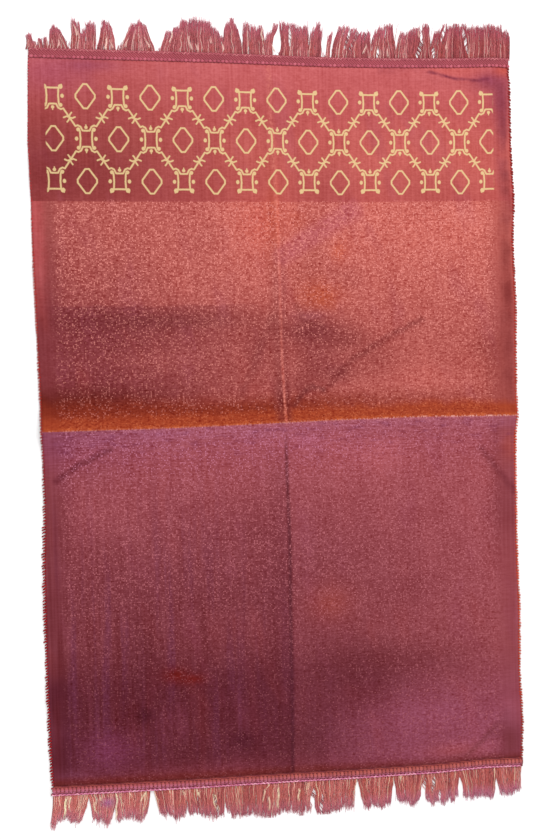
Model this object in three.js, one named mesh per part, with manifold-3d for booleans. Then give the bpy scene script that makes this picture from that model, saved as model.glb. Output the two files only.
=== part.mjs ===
// A prayer rug laid out flat: one sheet of velour with a fringed tape sewn over each end.
// Millimetres, +X to the right, +Y toward the patterned end, +Z up. The rug lies on z = 0.
import * as THREE from "three";
import { mergeVertices } from "three/addons/utils/BufferGeometryUtils.js";
import Module from "manifold-3d";

const wasm = await Module();
wasm.setup();

// ---- Driving dimensions ----

const HALF_WIDTH = 350; // from the middle of the rug to either selvedge
const HALF_LENGTH = 528; // from the middle fold to the roots of either fringe

const CLOTH_THICKNESS = 3; // backing and short pile together
const SELVEDGE_THICKNESS = 2.2; // where the overcast stitches pull the edge tight
const PRESSED_THICKNESS = 2; // where a tape is sewn down on the cloth
const SEWN_GAP = 0.35; // between the cloth and the tape over it

const CLOTH_END_SETBACK = 2.9; // the cut end of the cloth, back from the roots of the fringe
const PRESSED_EDGE = 12.8; // how far in the cloth is pressed, back from the roots
const PILE_EDGE = 14.6; // where the cloth is back at its full thickness

const TAPE_WIDTH = 12.4; // from the roots of the fringe to the inner edge of the tape
const TAPE_STATIONS = 44; // sections along each tape

const ROOT_DEPTH = 0.4; // how far a lock starts outside the line of the roots
const LOCK_ROOT = { width: 4.8, height: 1.45 };
const LOCK_TIP = { width: 2.9, height: 0.8 };
const LOCK_CROWN = 0.55; // the width of a lock's top, as a share of its width on the floor
const LOCK_FILL = 0.86; // the share of its room that a lock fills at its roots
const TIP_FILL = 0.74; // and at its tip
const MOST_BEND = 1.2; // how far a clump's locks bow to one side
const UNEVEN_REACH = 2.6; // how much longer or shorter than its neighbours a lock may be
const LONGEST_REACH = 52;

// ---- Lines that wander, as short tables of points ----

// The roots of each fringe, out from the even end line at HALF_LENGTH.
const PATTERNED_END = [
  { x: -350, out: 2 },
  { x: -235, out: 1 },
  { x: -90, out: 0 },
  { x: 20, out: -2 },
  { x: 75, out: -3 },
  { x: 160, out: -2.5 },
  { x: 265, out: -0.5 },
  { x: 320, out: 2 },
  { x: 350, out: 1 },
];
const PLAIN_END = [
  { x: -350, out: -4 },
  { x: -260, out: -2.5 },
  { x: -140, out: -0.5 },
  { x: 0, out: 0.5 },
  { x: 90, out: 2 },
  { x: 220, out: 2.5 },
  { x: 290, out: 0 },
  { x: 350, out: 1.5 },
];

// Both selvedges, out from HALF_WIDTH.
const SELVEDGES = [
  { y: -528, left: -4, right: 0.5 },
  { y: -465, left: -1.5, right: 3 },
  { y: -390, left: 0, right: 0 },
  { y: -290, left: 1, right: 1 },
  { y: -190, left: 0, right: -1.5 },
  { y: -100, left: -4, right: -1.5 },
  { y: -30, left: -3.5, right: -1 },
  { y: 10, left: -3, right: 1 },
  { y: 60, left: -2, right: 1.5 },
  { y: 170, left: 0.5, right: 2.5 },
  { y: 260, left: 2, right: -0.5 },
  { y: 320, left: 2, right: 2 },
  { y: 400, left: 4, right: -1.5 },
  { y: 485, left: 1.5, right: -2.5 },
  { y: 528, left: 0, right: -4.5 },
];

// The fold across the rug and the fold along it, off their straight lines.
const CROSS_FOLD_LINE = [
  { x: -350, y: -6.5 },
  { x: -165, y: -5.5 },
  { x: -50, y: -3 },
  { x: 60, y: 0 },
  { x: 200, y: 2 },
  { x: 350, y: 0.5 },
];
const LENGTH_FOLD_LINE = [
  { y: -528, x: 1 },
  { y: -300, x: 3 },
  { y: -180, x: 4 },
  { y: 0, x: 1 },
  { y: 90, x: -3 },
  { y: 350, x: -5 },
  { y: 528, x: -10 },
];

// ---- Folds that stand up from the floor ----

const CROSS_FOLD = { height: 7, above: 58, below: 40 }; // reach up and down the rug
const LENGTH_RIDGE = { height: 3.6, reach: 26 }; // toward the patterned end
const LENGTH_VALLEY = { height: 2, reach: 80 }; // toward the plain end, a rise on either side
const FOLD_HANDOVER = 30; // over which the ridge turns into the valley
const END_FADE = { from: 14, to: 34 }; // the folds die out toward the sewn ends

// Small ridges left by folding, each along a line of points from one end to the other.
const SMALL_RIDGES = [
  { name: "corner fold, patterned end", height: 3.2, reach: 15,
    points: [[196, 509], [250, 500], [288, 495], [340, 494]] },
  { name: "corner fold, plain end", height: 4, reach: 22,
    points: [[236, -508], [262, -498], [301, -468], [322, -440]] },
  { name: "slack beside the length fold", height: 1.8, reach: 30,
    points: [[-30, 186], [40, 240], [104, 300]] },
  { name: "crease to the right of the middle", height: 1.5, reach: 14,
    points: [[60, 62], [101, 95], [166, 123], [224, 151]] },
  { name: "crease to the left below the middle", height: 1.6, reach: 18,
    points: [[-328, -76], [-295, -54], [-246, -30]] },
  { name: "crease to the right below the middle", height: 1.4, reach: 18,
    points: [[290, -46], [318, -78], [344, -112]] },
];

// The selvedges ripple a little where the stitches gather them.
const RIPPLE = { height: 1.1, reach: 46, length: 150 };

// ---- The grid of the cloth ----

const COLUMNS = [
  -350, -344, -322, -290, -250, -208, -166, -128, -94, -66, -42, -22, -9,
  0, 9, 22, 42, 64, 90, 120, 152, 184, 212, 234, 254, 272, 290, 308, 326, 344, 350,
];
const ROWS = [
  -513, -505, -496, -486, -475, -462, -446, -420, -380, -334, -286, -238, -194, -156, -126,
  -104, -84, -66, -50, -37, -26, -16, -7, 0, 9, 19, 31, 45, 60, 78, 98, 120, 145, 172, 200,
  230, 262, 294, 330, 376, 424, 462, 484, 496, 504, 510,
];

// ---- The fringe, clump by clump ----

// from, to: the clump's roots along the end. tipFrom, tipTo: its tips. near, middle, far: how
// far it reaches at its first lock, halfway and at its last lock.
const PATTERNED_FRINGE = [
  { from: -348, to: -338, tipFrom: -348, tipTo: -340, near: 18, middle: 13, far: 8, locks: 3 },
  { from: -332, to: -332, tipFrom: -334, tipTo: -334, near: 17, middle: 17, far: 17, locks: 1 },
  { from: -325, to: -325, tipFrom: -326, tipTo: -326, near: 20, middle: 20, far: 20, locks: 1 },
  { from: -317, to: -299, tipFrom: -317, tipTo: -310, near: 30, middle: 33, far: 30, locks: 4 },
  { from: -287, to: -262, tipFrom: -287, tipTo: -262, near: 38, middle: 26, far: 39, locks: 6 },
  { from: -250, to: -234, tipFrom: -245, tipTo: -239, near: 38, middle: 41, far: 39, locks: 3 },
  { from: -218, to: -179, tipFrom: -204, tipTo: -189, near: 37, middle: 40, far: 38, locks: 7 },
  { from: -162, to: -124, tipFrom: -150, tipTo: -123, near: 31, middle: 40, far: 46, locks: 8 },
  { from: -118, to: -80, tipFrom: -117, tipTo: -81, near: 47, middle: 46, far: 24, locks: 8 },
  { from: -74, to: -53, tipFrom: -71, tipTo: -61, near: 45, middle: 48, far: 44, locks: 4 },
  { from: -44, to: -20, tipFrom: -44, tipTo: -23, near: 44, middle: 42, far: 40, locks: 5 },
  { from: -15, to: -10, tipFrom: -7, tipTo: 0, near: 36, middle: 40, far: 45, locks: 2 },
  { from: 8, to: 42, tipFrom: 8, tipTo: 43, near: 46, middle: 46, far: 47, locks: 8 },
  { from: 51, to: 60, tipFrom: 57, tipTo: 66, near: 45, middle: 48, far: 46, locks: 3 },
  { from: 74, to: 74, tipFrom: 82, tipTo: 82, near: 40, middle: 40, far: 40, locks: 1 },
  { from: 84, to: 136, tipFrom: 93, tipTo: 134, near: 43, middle: 43, far: 38, locks: 11 },
  { from: 141, to: 172, tipFrom: 150, tipTo: 169, near: 40, middle: 49, far: 48, locks: 6 },
  { from: 180, to: 226, tipFrom: 188, tipTo: 224, near: 37, middle: 47, far: 46, locks: 9 },
  { from: 231, to: 284, tipFrom: 241, tipTo: 284, near: 41, middle: 51, far: 49, locks: 10 },
  { from: 290, to: 343, tipFrom: 291, tipTo: 344, near: 47, middle: 49, far: 43, locks: 11 },
];
const PLAIN_FRINGE = [
  { from: -344, to: -299, tipFrom: -347, tipTo: -312, near: 45, middle: 36, far: 45, locks: 9 },
  { from: -291, to: -263, tipFrom: -287, tipTo: -267, near: 34, middle: 44, far: 43, locks: 6 },
  { from: -257, to: -213, tipFrom: -253, tipTo: -219, near: 40, middle: 39, far: 44, locks: 9 },
  { from: -198, to: -157, tipFrom: -190, tipTo: -161, near: 39, middle: 41, far: 41, locks: 9 },
  { from: -151, to: -103, tipFrom: -149, tipTo: -105, near: 38, middle: 42, far: 44, locks: 9 },
  { from: -97, to: -60, tipFrom: -92, tipTo: -63, near: 44, middle: 46, far: 47, locks: 7 },
  { from: -54, to: -14, tipFrom: -55, tipTo: -18, near: 48, middle: 49, far: 48, locks: 8 },
  { from: -8, to: 26, tipFrom: -9, tipTo: 22, near: 49, middle: 50, far: 50, locks: 7 },
  { from: 31, to: 91, tipFrom: 38, tipTo: 86, near: 50, middle: 49, far: 44, locks: 11 },
  { from: 102, to: 148, tipFrom: 110, tipTo: 143, near: 45, middle: 46, far: 46, locks: 9 },
  { from: 157, to: 194, tipFrom: 161, tipTo: 187, near: 45, middle: 44, far: 42, locks: 7 },
  { from: 200, to: 248, tipFrom: 205, tipTo: 247, near: 46, middle: 47, far: 44, locks: 9 },
  { from: 255, to: 304, tipFrom: 262, tipTo: 302, near: 44, middle: 46, far: 45, locks: 9 },
  { from: 312, to: 344, tipFrom: 321, tipTo: 345, near: 47, middle: 44, far: 36, locks: 6 },
];

// ---- The tapes' sections: out is measured from the roots, away from the cloth ----

const TAPE_UNDERSIDE = PRESSED_THICKNESS + SEWN_GAP;
const TAPE_INSIDE = -CLOTH_END_SETBACK + SEWN_GAP;

// A flat tape with a low welt under each of its two rows of chain stitch.
const FLAT_TAPE = [
  { out: -TAPE_WIDTH, z: TAPE_UNDERSIDE },
  { out: TAPE_INSIDE, z: TAPE_UNDERSIDE },
  { out: TAPE_INSIDE, z: 0 },
  { out: 1.6, z: 0 },
  { out: 1.6, z: 1.7 },
  { out: 0.2, z: 3.1 },
  { out: -1, z: 3.7 },
  { out: -2.4, z: 3.3 },
  { out: -9, z: 3.3 },
  { out: -10.6, z: 3.8 },
  { out: -TAPE_WIDTH, z: 3.1 },
];

// A tape turned over into a round rib, with one welt of chain stitch outside it.
const RIBBED_TAPE = [
  { out: -TAPE_WIDTH, z: TAPE_UNDERSIDE },
  { out: TAPE_INSIDE, z: TAPE_UNDERSIDE },
  { out: TAPE_INSIDE, z: 0 },
  { out: 1.6, z: 0 },
  { out: 1.6, z: 1.7 },
  { out: 0.6, z: 3 },
  { out: -0.8, z: 3.7 },
  { out: -2.2, z: 3.2 },
  { out: -4.2, z: 4.5 },
  { out: -6.6, z: 5 },
  { out: -9.2, z: 4.6 },
  { out: -11.2, z: 3.6 },
  { out: -TAPE_WIDTH, z: 2.9 },
];

// ---- Helpers ----

// The value that a table of points gives at one place, on straight lines between its points.
function lookUp(table, place, at, value) {
  let before = table[0];
  for (const point of table) {
    if (point[at] > place) {
      if (point === before) return point[value];
      const share = (place - before[at]) / (point[at] - before[at]);
      return before[value] + share * (point[value] - before[value]);
    }
    before = point;
  }
  return before[value];
}

// 1 on a ridge's crest, falling steeply from it and running out level at its foot.
function flank(distance, reach) {
  const left = Math.max(0, 1 - Math.abs(distance) / reach);
  return left * left * (1 + 0.35 * (1 - left));
}

// 0 in the bottom of a valley, 1 on the rise beside it and 0 at its foot.
function valleySide(distance, reach) {
  const share = Math.min(1, Math.abs(distance) / reach);
  return 6.75 * share * (1 - share) ** 2;
}

function distanceToLine(x, y, points) {
  const spot = new THREE.Vector3(x, y, 0);
  const nearest = new THREE.Vector3();
  let least = Infinity;
  for (let i = 0; i + 1 < points.length; i += 1) {
    const start = new THREE.Vector3(...points[i], 0);
    const end = new THREE.Vector3(...points[i + 1], 0);
    new THREE.Line3(start, end).closestPointToPoint(spot, true, nearest);
    least = Math.min(least, nearest.distanceTo(spot));
  }
  return least;
}

// A repeatable number from -1 to 1 for the nth thing of its kind.
function uneven(n) {
  const turned = Math.sin(n * 12.9898) * 43758.5453;
  return 2 * (turned - Math.floor(turned)) - 1;
}

// Leaves only positions on a geometry and joins the vertices that its faces share.
function weld(geometry) {
  const bare = geometry.clone();
  bare.deleteAttribute("normal");
  bare.deleteAttribute("uv");
  return mergeVertices(bare, 1e-4);
}

function toManifold(geometry) {
  const welded = weld(geometry);
  return new wasm.Manifold(new wasm.Mesh({
    numProp: 3,
    vertProperties: new Float32Array(welded.attributes.position.array),
    triVerts: new Uint32Array(welded.index.array),
  }));
}

function toGeometry(manifold) {
  const mesh = manifold.getMesh();
  const geometry = new THREE.BufferGeometry();
  geometry.setAttribute("position", new THREE.BufferAttribute(mesh.vertProperties, 3));
  geometry.setIndex(new THREE.BufferAttribute(mesh.triVerts, 1));
  geometry.computeVertexNormals();
  return geometry;
}

// Moves every vertex of a geometry to the place that a function gives for it.
function reshape(geometry, place) {
  const position = geometry.attributes.position;
  const vertex = new THREE.Vector3();
  for (let i = 0; i < position.count; i += 1) {
    vertex.fromBufferAttribute(position, i);
    position.setXYZ(i, ...place(vertex));
  }
  geometry.computeVertexNormals();
  return geometry;
}

// ---- The lie of the cloth ----

// How far the cloth stands off the floor at one place.
function lift(x, y) {
  const fromCross = y - lookUp(CROSS_FOLD_LINE, x, "x", "y");
  const fromLength = x - lookUp(LENGTH_FOLD_LINE, y, "y", "x");
  const crossReach = fromCross > 0 ? CROSS_FOLD.above : CROSS_FOLD.below;
  const cross = CROSS_FOLD.height * flank(fromCross, crossReach);

  const towardPattern = THREE.MathUtils.smoothstep(fromCross, -FOLD_HANDOVER, FOLD_HANDOVER);
  const ridge = LENGTH_RIDGE.height * flank(fromLength, LENGTH_RIDGE.reach);
  const valley = LENGTH_VALLEY.height * valleySide(fromLength, LENGTH_VALLEY.reach);
  const along = THREE.MathUtils.lerp(valley, ridge, towardPattern);

  let small = 0;
  for (const crease of SMALL_RIDGES) {
    const distance = distanceToLine(x, y, crease.points);
    small = Math.max(small, crease.height * flank(distance, crease.reach));
  }

  const fromEdge = HALF_WIDTH - Math.abs(x);
  const wave = Math.sin((2 * Math.PI * y) / RIPPLE.length + Math.sign(x));
  const ripple = RIPPLE.height * Math.max(0, wave) * flank(fromEdge, RIPPLE.reach);

  const fromEnd = HALF_LENGTH - Math.abs(y);
  const held = THREE.MathUtils.smoothstep(fromEnd, END_FADE.from, END_FADE.to);
  return held * Math.max(cross, along, small, ripple);
}

// The line of the roots of one fringe, end being 1 at the patterned end and -1 at the plain one.
function rootLine(x, end) {
  const table = end > 0 ? PATTERNED_END : PLAIN_END;
  return end * (HALF_LENGTH + lookUp(table, x, "x", "out"));
}

// ---- The pile cloth ----

// The cloth's rows run from its cut end, over the pressed strips, to the other cut end.
function rowLine(row, x) {
  const endRows = [CLOTH_END_SETBACK, PRESSED_EDGE, PILE_EDGE];
  if (row < endRows.length) return rootLine(x, -1) + endRows[row];
  const fromLast = ROWS.length + 2 * endRows.length - 1 - row;
  if (fromLast < endRows.length) return rootLine(x, 1) - endRows[fromLast];
  const even = ROWS[row - endRows.length];
  const pull = 1 - Math.abs(even) / HALF_LENGTH;
  const end = Math.sign(even) || 1;
  const wander = rootLine(x, end) - end * HALF_LENGTH;
  return even + pull * lookUp(CROSS_FOLD_LINE, x, "x", "y") + (1 - pull) * wander;
}

function columnLine(even, y) {
  const pull = 1 - Math.abs(even) / HALF_WIDTH;
  const side = even > 0 ? "right" : "left";
  const edge = Math.sign(even) * lookUp(SELVEDGES, y, "y", side);
  return even + pull * lookUp(LENGTH_FOLD_LINE, y, "y", "x") + (1 - pull) * edge;
}

function makePileCloth() {
  const columns = COLUMNS.length;
  const rows = ROWS.length + 6;
  const grid = new THREE.BoxGeometry(1, 1, 1, columns - 1, rows - 1, 1);
  return weld(reshape(grid, (vertex) => {
    const column = Math.round((vertex.x + 0.5) * (columns - 1));
    const row = Math.round((vertex.y + 0.5) * (rows - 1));
    const y = rowLine(row, COLUMNS[column]);
    const x = columnLine(COLUMNS[column], y);
    const pressed = row < 2 || row > rows - 3;
    const selvedge = column === 0 || column === columns - 1;
    const full = selvedge ? SELVEDGE_THICKNESS : CLOTH_THICKNESS;
    const thickness = pressed ? PRESSED_THICKNESS : full;
    return [x, y, lift(x, y) + (vertex.z > 0 ? thickness : 0)];
  }));
}

// ---- The fringed tapes ----

// A tape's solid: its section, carried from one selvedge to the other along the roots.
function makeTape(section, end) {
  const outline = new THREE.Shape(section.map((corner) => new THREE.Vector2(corner.out, corner.z)));
  const bar = new THREE.ExtrudeGeometry(outline, {
    depth: 1,
    steps: TAPE_STATIONS,
    bevelEnabled: false,
  });
  const y = end * HALF_LENGTH;
  const left = columnLine(-HALF_WIDTH, y);
  const right = columnLine(HALF_WIDTH, y);
  return toManifold(reshape(bar, (vertex) => {
    const share = end > 0 ? vertex.z : 1 - vertex.z;
    const x = THREE.MathUtils.lerp(left, right, share);
    return [x, rootLine(x, end) + end * vertex.x, vertex.y];
  }));
}

// One lock, lying level on the floor and narrowing from its roots to its tip. The locks of a
// clump share the shape of its fan, so that a short one stays clear of its longer neighbours.
function makeLock({ root, tip, bend, reach, fan, rootWidth, tipWidth, end }) {
  const bar = new THREE.BoxGeometry(1, 1, 1, 1, 2, 1);
  return toManifold(reshape(bar, (vertex) => {
    const along = vertex.y + 0.5;
    const out = THREE.MathUtils.lerp(ROOT_DEPTH, reach, along);
    const spread = out / fan;
    const bow = bend * Math.sin(Math.PI * Math.min(1, spread));
    const centre = THREE.MathUtils.lerp(root, tip, spread ** 1.4) + bow;
    const width = THREE.MathUtils.lerp(rootWidth, tipWidth, spread ** 0.8);
    const height = THREE.MathUtils.lerp(LOCK_ROOT.height, LOCK_TIP.height, along);
    const top = vertex.z > 0;
    const x = centre + end * vertex.x * width * (top ? LOCK_CROWN : 1);
    return [x, rootLine(root, end) + end * out, top ? height : 0];
  }));
}

// All the locks of one clump, spread evenly over its roots and over its tips.
function makeClump(clump, end, firstNumber) {
  const spaces = Math.max(1, clump.locks - 1);
  const rootRoom = clump.locks > 1 ? (clump.to - clump.from) / spaces : LOCK_ROOT.width;
  const tipRoom = clump.locks > 1 ? (clump.tipTo - clump.tipFrom) / spaces : LOCK_TIP.width;
  const locks = [];
  for (let i = 0; i < clump.locks; i += 1) {
    const share = clump.locks > 1 ? i / spaces : 0.5;
    const [before, after] = share < 0.5 ? [clump.near, clump.middle] : [clump.middle, clump.far];
    const evenReach = THREE.MathUtils.lerp(before, after, share < 0.5 ? share * 2 : share * 2 - 1);
    locks.push(makeLock({
      root: THREE.MathUtils.lerp(clump.from, clump.to, share),
      tip: THREE.MathUtils.lerp(clump.tipFrom, clump.tipTo, share),
      bend: MOST_BEND * uneven(firstNumber),
      reach: Math.min(LONGEST_REACH, evenReach + UNEVEN_REACH * uneven(firstNumber + i)),
      fan: Math.max(clump.near, clump.middle, clump.far),
      rootWidth: Math.min(LOCK_ROOT.width, rootRoom * LOCK_FILL),
      tipWidth: Math.min(LOCK_TIP.width, tipRoom * TIP_FILL),
      end,
    }));
  }
  return locks;
}

function makeFringedTape(section, clumps, end) {
  let tape = makeTape(section, end);
  let number = 1;
  for (const clump of clumps) {
    for (const lock of makeClump(clump, end, number)) tape = tape.add(lock);
    number += clump.locks;
  }
  return toGeometry(tape);
}

// ---- The rug ----

const velour = new THREE.MeshStandardMaterial({ color: 0x9a4350, roughness: 0.92, metalness: 0 });
const mauveYarn = new THREE.MeshStandardMaterial({ color: 0xa85a60, roughness: 0.85, metalness: 0 });
const rustYarn = new THREE.MeshStandardMaterial({ color: 0xb8655a, roughness: 0.85, metalness: 0 });

function addPiece(group, name, geometry, material) {
  const piece = new THREE.Mesh(geometry, material);
  piece.name = name;
  group.add(piece);
}

const rug = new THREE.Group();
addPiece(rug, "pile_cloth", makePileCloth(), velour);
addPiece(rug, "patterned_end_fringe", makeFringedTape(FLAT_TAPE, PATTERNED_FRINGE, 1), mauveYarn);
addPiece(rug, "plain_end_fringe", makeFringedTape(RIBBED_TAPE, PLAIN_FRINGE, -1), rustYarn);

// The rug's own middle, between its farthest edges and tips, is the origin.
const bounds = new THREE.Box3().setFromObject(rug);
const middle = bounds.getCenter(new THREE.Vector3());
for (const piece of rug.children) piece.geometry.translate(-middle.x, -middle.y, 0);

export default rug;
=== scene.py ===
"""Dresses a velour prayer rug: its cloth, overcast sides, sewn tapes and yarn fringes."""

import math

import bpy
import numpy as np
from bpy.props import (
    FloatProperty,
    FloatVectorProperty,
    IntProperty,
    PointerProperty,
)
from mathutils import Euler, Matrix


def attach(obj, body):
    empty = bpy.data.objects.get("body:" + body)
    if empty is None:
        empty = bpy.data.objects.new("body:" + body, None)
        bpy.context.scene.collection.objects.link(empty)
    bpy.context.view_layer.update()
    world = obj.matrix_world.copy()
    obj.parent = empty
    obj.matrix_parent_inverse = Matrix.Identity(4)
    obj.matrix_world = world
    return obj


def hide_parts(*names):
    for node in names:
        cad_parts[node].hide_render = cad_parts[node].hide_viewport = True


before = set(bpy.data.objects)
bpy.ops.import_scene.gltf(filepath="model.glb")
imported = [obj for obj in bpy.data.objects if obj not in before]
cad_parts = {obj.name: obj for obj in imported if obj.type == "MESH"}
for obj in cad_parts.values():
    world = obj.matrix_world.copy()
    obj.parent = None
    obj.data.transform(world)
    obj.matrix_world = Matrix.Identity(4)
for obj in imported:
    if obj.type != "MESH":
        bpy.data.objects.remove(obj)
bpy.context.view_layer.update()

bl_info = {
    "name": "Velour Prayer Rug",
    "version": (1, 0, 0),
    "blender": (4, 5, 0),
    "location": "3D View > Sidebar > Rug",
    "description": "Models a velour prayer rug laid out flat, with its sewing and fringes",
    "category": "Object",
}

# ---- The rug's drawn sizes, in millimetres, as its solids have them ----

MIDDLE = (0.70, 0.08)  # from the drawn middle of the cloth to the middle of the whole rug

HALF_WIDTH = 350
HALF_LENGTH = 528
CLOTH_END_SETBACK = 2.9
PRESSED_EDGE = 12.8
PILE_EDGE = 14.6
LAST_ROW = 18  # of the evenly spaced rows, from each end
PULL_REACH = 14  # how far in from a selvedge its stitches pull the cloth
PRESSED_THICKNESS = 2
SEWN_GAP = 0.35
TAPE_WIDTH = 12.4

# How far in from the left selvedge the tape and its stitches start, at the patterned end (1)
# and at the plain one (-1), and how far from both ends the edge stitches stop.
TAPE_INSET = {1: 0.6, -1: 3}
STITCH_INSET = {1: 1.5, -1: 4}
OVERCAST_INSET = 6

PATTERNED_END = [(-350, 2), (-235, 1), (-90, 0), (20, -2), (75, -3), (160, -2.5), (265, -0.5),
                 (320, 2), (350, 1)]
PLAIN_END = [(-350, -4), (-260, -2.5), (-140, -0.5), (0, 0.5), (90, 2), (220, 2.5), (290, 0),
             (350, 1.5)]
LEFT_SELVEDGE = [(-528, -4), (-465, -1.5), (-390, 0), (-290, 1), (-190, 0), (-100, -4),
                 (-30, -3.5), (10, -3), (60, -2), (170, 0.5), (260, 2), (320, 2), (400, 4),
                 (485, 1.5), (528, 0)]
RIGHT_SELVEDGE = [(-528, 0.5), (-465, 3), (-390, 0), (-290, 1), (-190, -1.5), (-100, -1.5),
                  (-30, -1), (10, 1), (60, 1.5), (170, 2.5), (260, -0.5), (320, 2), (400, -1.5),
                  (485, -2.5), (528, -4.5)]
CROSS_FOLD_LINE = [(-350, -6.5), (-165, -5.5), (-50, -3), (60, 0), (200, 2), (350, 0.5)]
LENGTH_FOLD_LINE = [(-528, 1), (-300, 3), (-180, 4), (0, 1), (90, -3), (350, -5), (528, -10)]

CROSS_FOLD_HEIGHT = 7
CROSS_FOLD_REACH = (58, 40)  # toward the patterned end and toward the plain one
LENGTH_RIDGE = (3.6, 26)  # height and reach
LENGTH_VALLEY = (2, 80)
FOLD_HANDOVER = 30
END_FADE = (14, 34)
RIPPLE = (1.1, 46, 150)  # height, reach and length

# Height, reach and line of each small ridge left by folding.
SMALL_RIDGES = [
    (3.2, 15, [(196, 509), (250, 500), (288, 495), (340, 494)]),
    (4, 22, [(236, -508), (262, -498), (301, -468), (322, -440)]),
    (1.8, 30, [(-30, 186), (40, 240), (104, 300)]),
    (1.5, 14, [(60, 62), (101, 95), (166, 123), (224, 151)]),
    (1.6, 18, [(-328, -76), (-295, -54), (-246, -30)]),
    (1.4, 18, [(290, -46), (318, -78), (344, -112)]),
]

# Each tape's section: out from the roots of the fringe, and height above the floor.
UNDERSIDE = PRESSED_THICKNESS + SEWN_GAP
INSIDE = -CLOTH_END_SETBACK + SEWN_GAP
FLAT_TAPE = [(-TAPE_WIDTH, UNDERSIDE), (INSIDE, UNDERSIDE), (INSIDE, 0), (1.6, 0), (1.6, 1.7),
             (0.2, 2.9), (-1, 3.2), (-2.4, 3.2), (-9, 3.2), (-10.6, 3.3), (-TAPE_WIDTH, 2.9)]
RIBBED_TAPE = [(-TAPE_WIDTH, UNDERSIDE), (INSIDE, UNDERSIDE), (INSIDE, 0), (1.6, 0), (1.6, 1.7),
               (0.6, 2.7), (-0.8, 3.1), (-2.2, 3.0), (-4.2, 4.2), (-6.6, 4.6), (-9.2, 4.2),
               (-11.2, 3.3), (-TAPE_WIDTH, 2.7)]

# Each clump of a fringe: its roots from and to, its tips from and to, how far it reaches at
# its first lock, halfway and at its last, and its number of locks.
PATTERNED_FRINGE = [
    (-348, -338, -348, -340, 18, 13, 8, 3),
    (-332, -332, -334, -334, 17, 17, 17, 1),
    (-325, -325, -326, -326, 20, 20, 20, 1),
    (-317, -299, -317, -310, 30, 33, 30, 4),
    (-287, -262, -287, -262, 38, 26, 39, 6),
    (-250, -234, -245, -239, 38, 41, 39, 3),
    (-218, -179, -204, -189, 37, 40, 38, 7),
    (-162, -124, -150, -123, 31, 40, 46, 8),
    (-118, -80, -117, -81, 47, 46, 24, 8),
    (-74, -53, -71, -61, 45, 48, 44, 4),
    (-44, -20, -44, -23, 44, 42, 40, 5),
    (-15, -10, -7, 0, 36, 40, 45, 2),
    (8, 42, 8, 43, 46, 46, 47, 8),
    (51, 60, 57, 66, 45, 48, 46, 3),
    (74, 74, 82, 82, 40, 40, 40, 1),
    (84, 136, 93, 134, 43, 43, 38, 11),
    (141, 172, 150, 169, 40, 49, 48, 6),
    (180, 226, 188, 224, 37, 47, 46, 9),
    (231, 284, 241, 284, 41, 51, 49, 10),
    (290, 343, 291, 344, 47, 49, 43, 11),
]
PLAIN_FRINGE = [
    (-340, -299, -347, -312, 45, 36, 45, 9),
    (-291, -263, -287, -267, 34, 44, 43, 6),
    (-257, -213, -253, -219, 40, 39, 44, 9),
    (-198, -157, -190, -161, 39, 41, 41, 9),
    (-151, -103, -149, -105, 38, 42, 44, 9),
    (-97, -60, -92, -63, 44, 46, 47, 7),
    (-54, -14, -55, -18, 48, 49, 48, 8),
    (-8, 26, -9, 22, 49, 50, 50, 7),
    (31, 91, 38, 86, 50, 49, 44, 11),
    (102, 148, 110, 143, 45, 46, 46, 9),
    (157, 194, 161, 187, 45, 44, 42, 7),
    (200, 248, 205, 247, 46, 47, 44, 9),
    (255, 304, 262, 302, 44, 46, 45, 9),
    (312, 344, 321, 345, 47, 44, 36, 6),
]

# How far the overcast stitches pull each selvedge in, and how far they stand out from it.
LEFT_PULL = [(-528, 2.3), (-150, 3.0), (-90, 1.5), (-10, 0.8), (200, 1.2), (330, 0.4), (528, 0.3)]
LEFT_REACH = [(-528, 3.6), (-330, 3.7), (-150, 4.6), (-60, 2.3), (200, 2.4), (330, 1.2), (528, 0.8)]
RIGHT_PULL = [(-528, 2.0), (528, 2.0)]
RIGHT_REACH = [(-528, 3.0), (528, 2.8)]

# Places where the yarns part, by their end: where its foot and head are across, how far out
# it starts and stops, and half its width. Then the bunches of undyed yarn, in the same way.
SLITS = {
    1: [(2, 2, 6, 35, 3.2), (19, 20, 13, 46, 1.9), (99, 109, 13, 44, 2.0), (103, 123, 8, 42, 2.1),
        (147, 150, 2, 17, 2.1), (206, 215, 1, 26, 2.9), (215, 214, 20, 47, 1.8),
        (233, 231, 1, 19, 2.2), (244, 251, 27, 48, 2.2), (284, 277, 9, 48, 2.4),
        (129, 133, 28, 42, 2.0)],
    -1: [(33, 26, 12, 40, 2.9), (44, 40, 24, 50, 2.3), (200, 196, 8, 32, 2.4),
         (215, 209, 6, 31, 2.3), (253, 253, 11, 40, 2.4), (222, 221, 28, 43, 2.1),
         (-117, -110, 10, 42, 1.9)],
}
PALE_STREAKS = {
    1: [(-310, -309, 2, 13), (-278, -287, 19, 36), (-243, -242, 2, 19), (-233, -237, 3, 14),
        (-217, -210, 4, 21), (-182, -188, 4, 19), (-155, -149, 13, 30), (-122, -127, 4, 25),
        (-115, -116, 2, 14), (-94, -94, 15, 24), (-78, -79, 3, 17), (-20, -22, 20, 41),
        (-3, -5, 6, 17), (126, 131, 7, 21), (161, 164, 3, 16), (211, 212, 30, 45),
        (252, 251, 13, 25)],
    -1: [(-326, -331, 4, 34), (-321, -323, 2, 24), (-289, -286, 12, 29), (-277, -278, 5, 15),
         (-256, -258, 2, 41), (-217, -222, 4, 20), (-160, -160, 3, 16), (-142, -141, 3, 15),
         (-136, -137, 5, 17), (-119, -111, 11, 37), (-42, -44, 9, 28), (-37, -40, 1, 9),
         (-36, -35, 21, 44), (-20, -22, 8, 39), (7, 7, 12, 33), (21, 21, 4, 19),
         (162, 162, 0, 12)],
}


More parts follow.
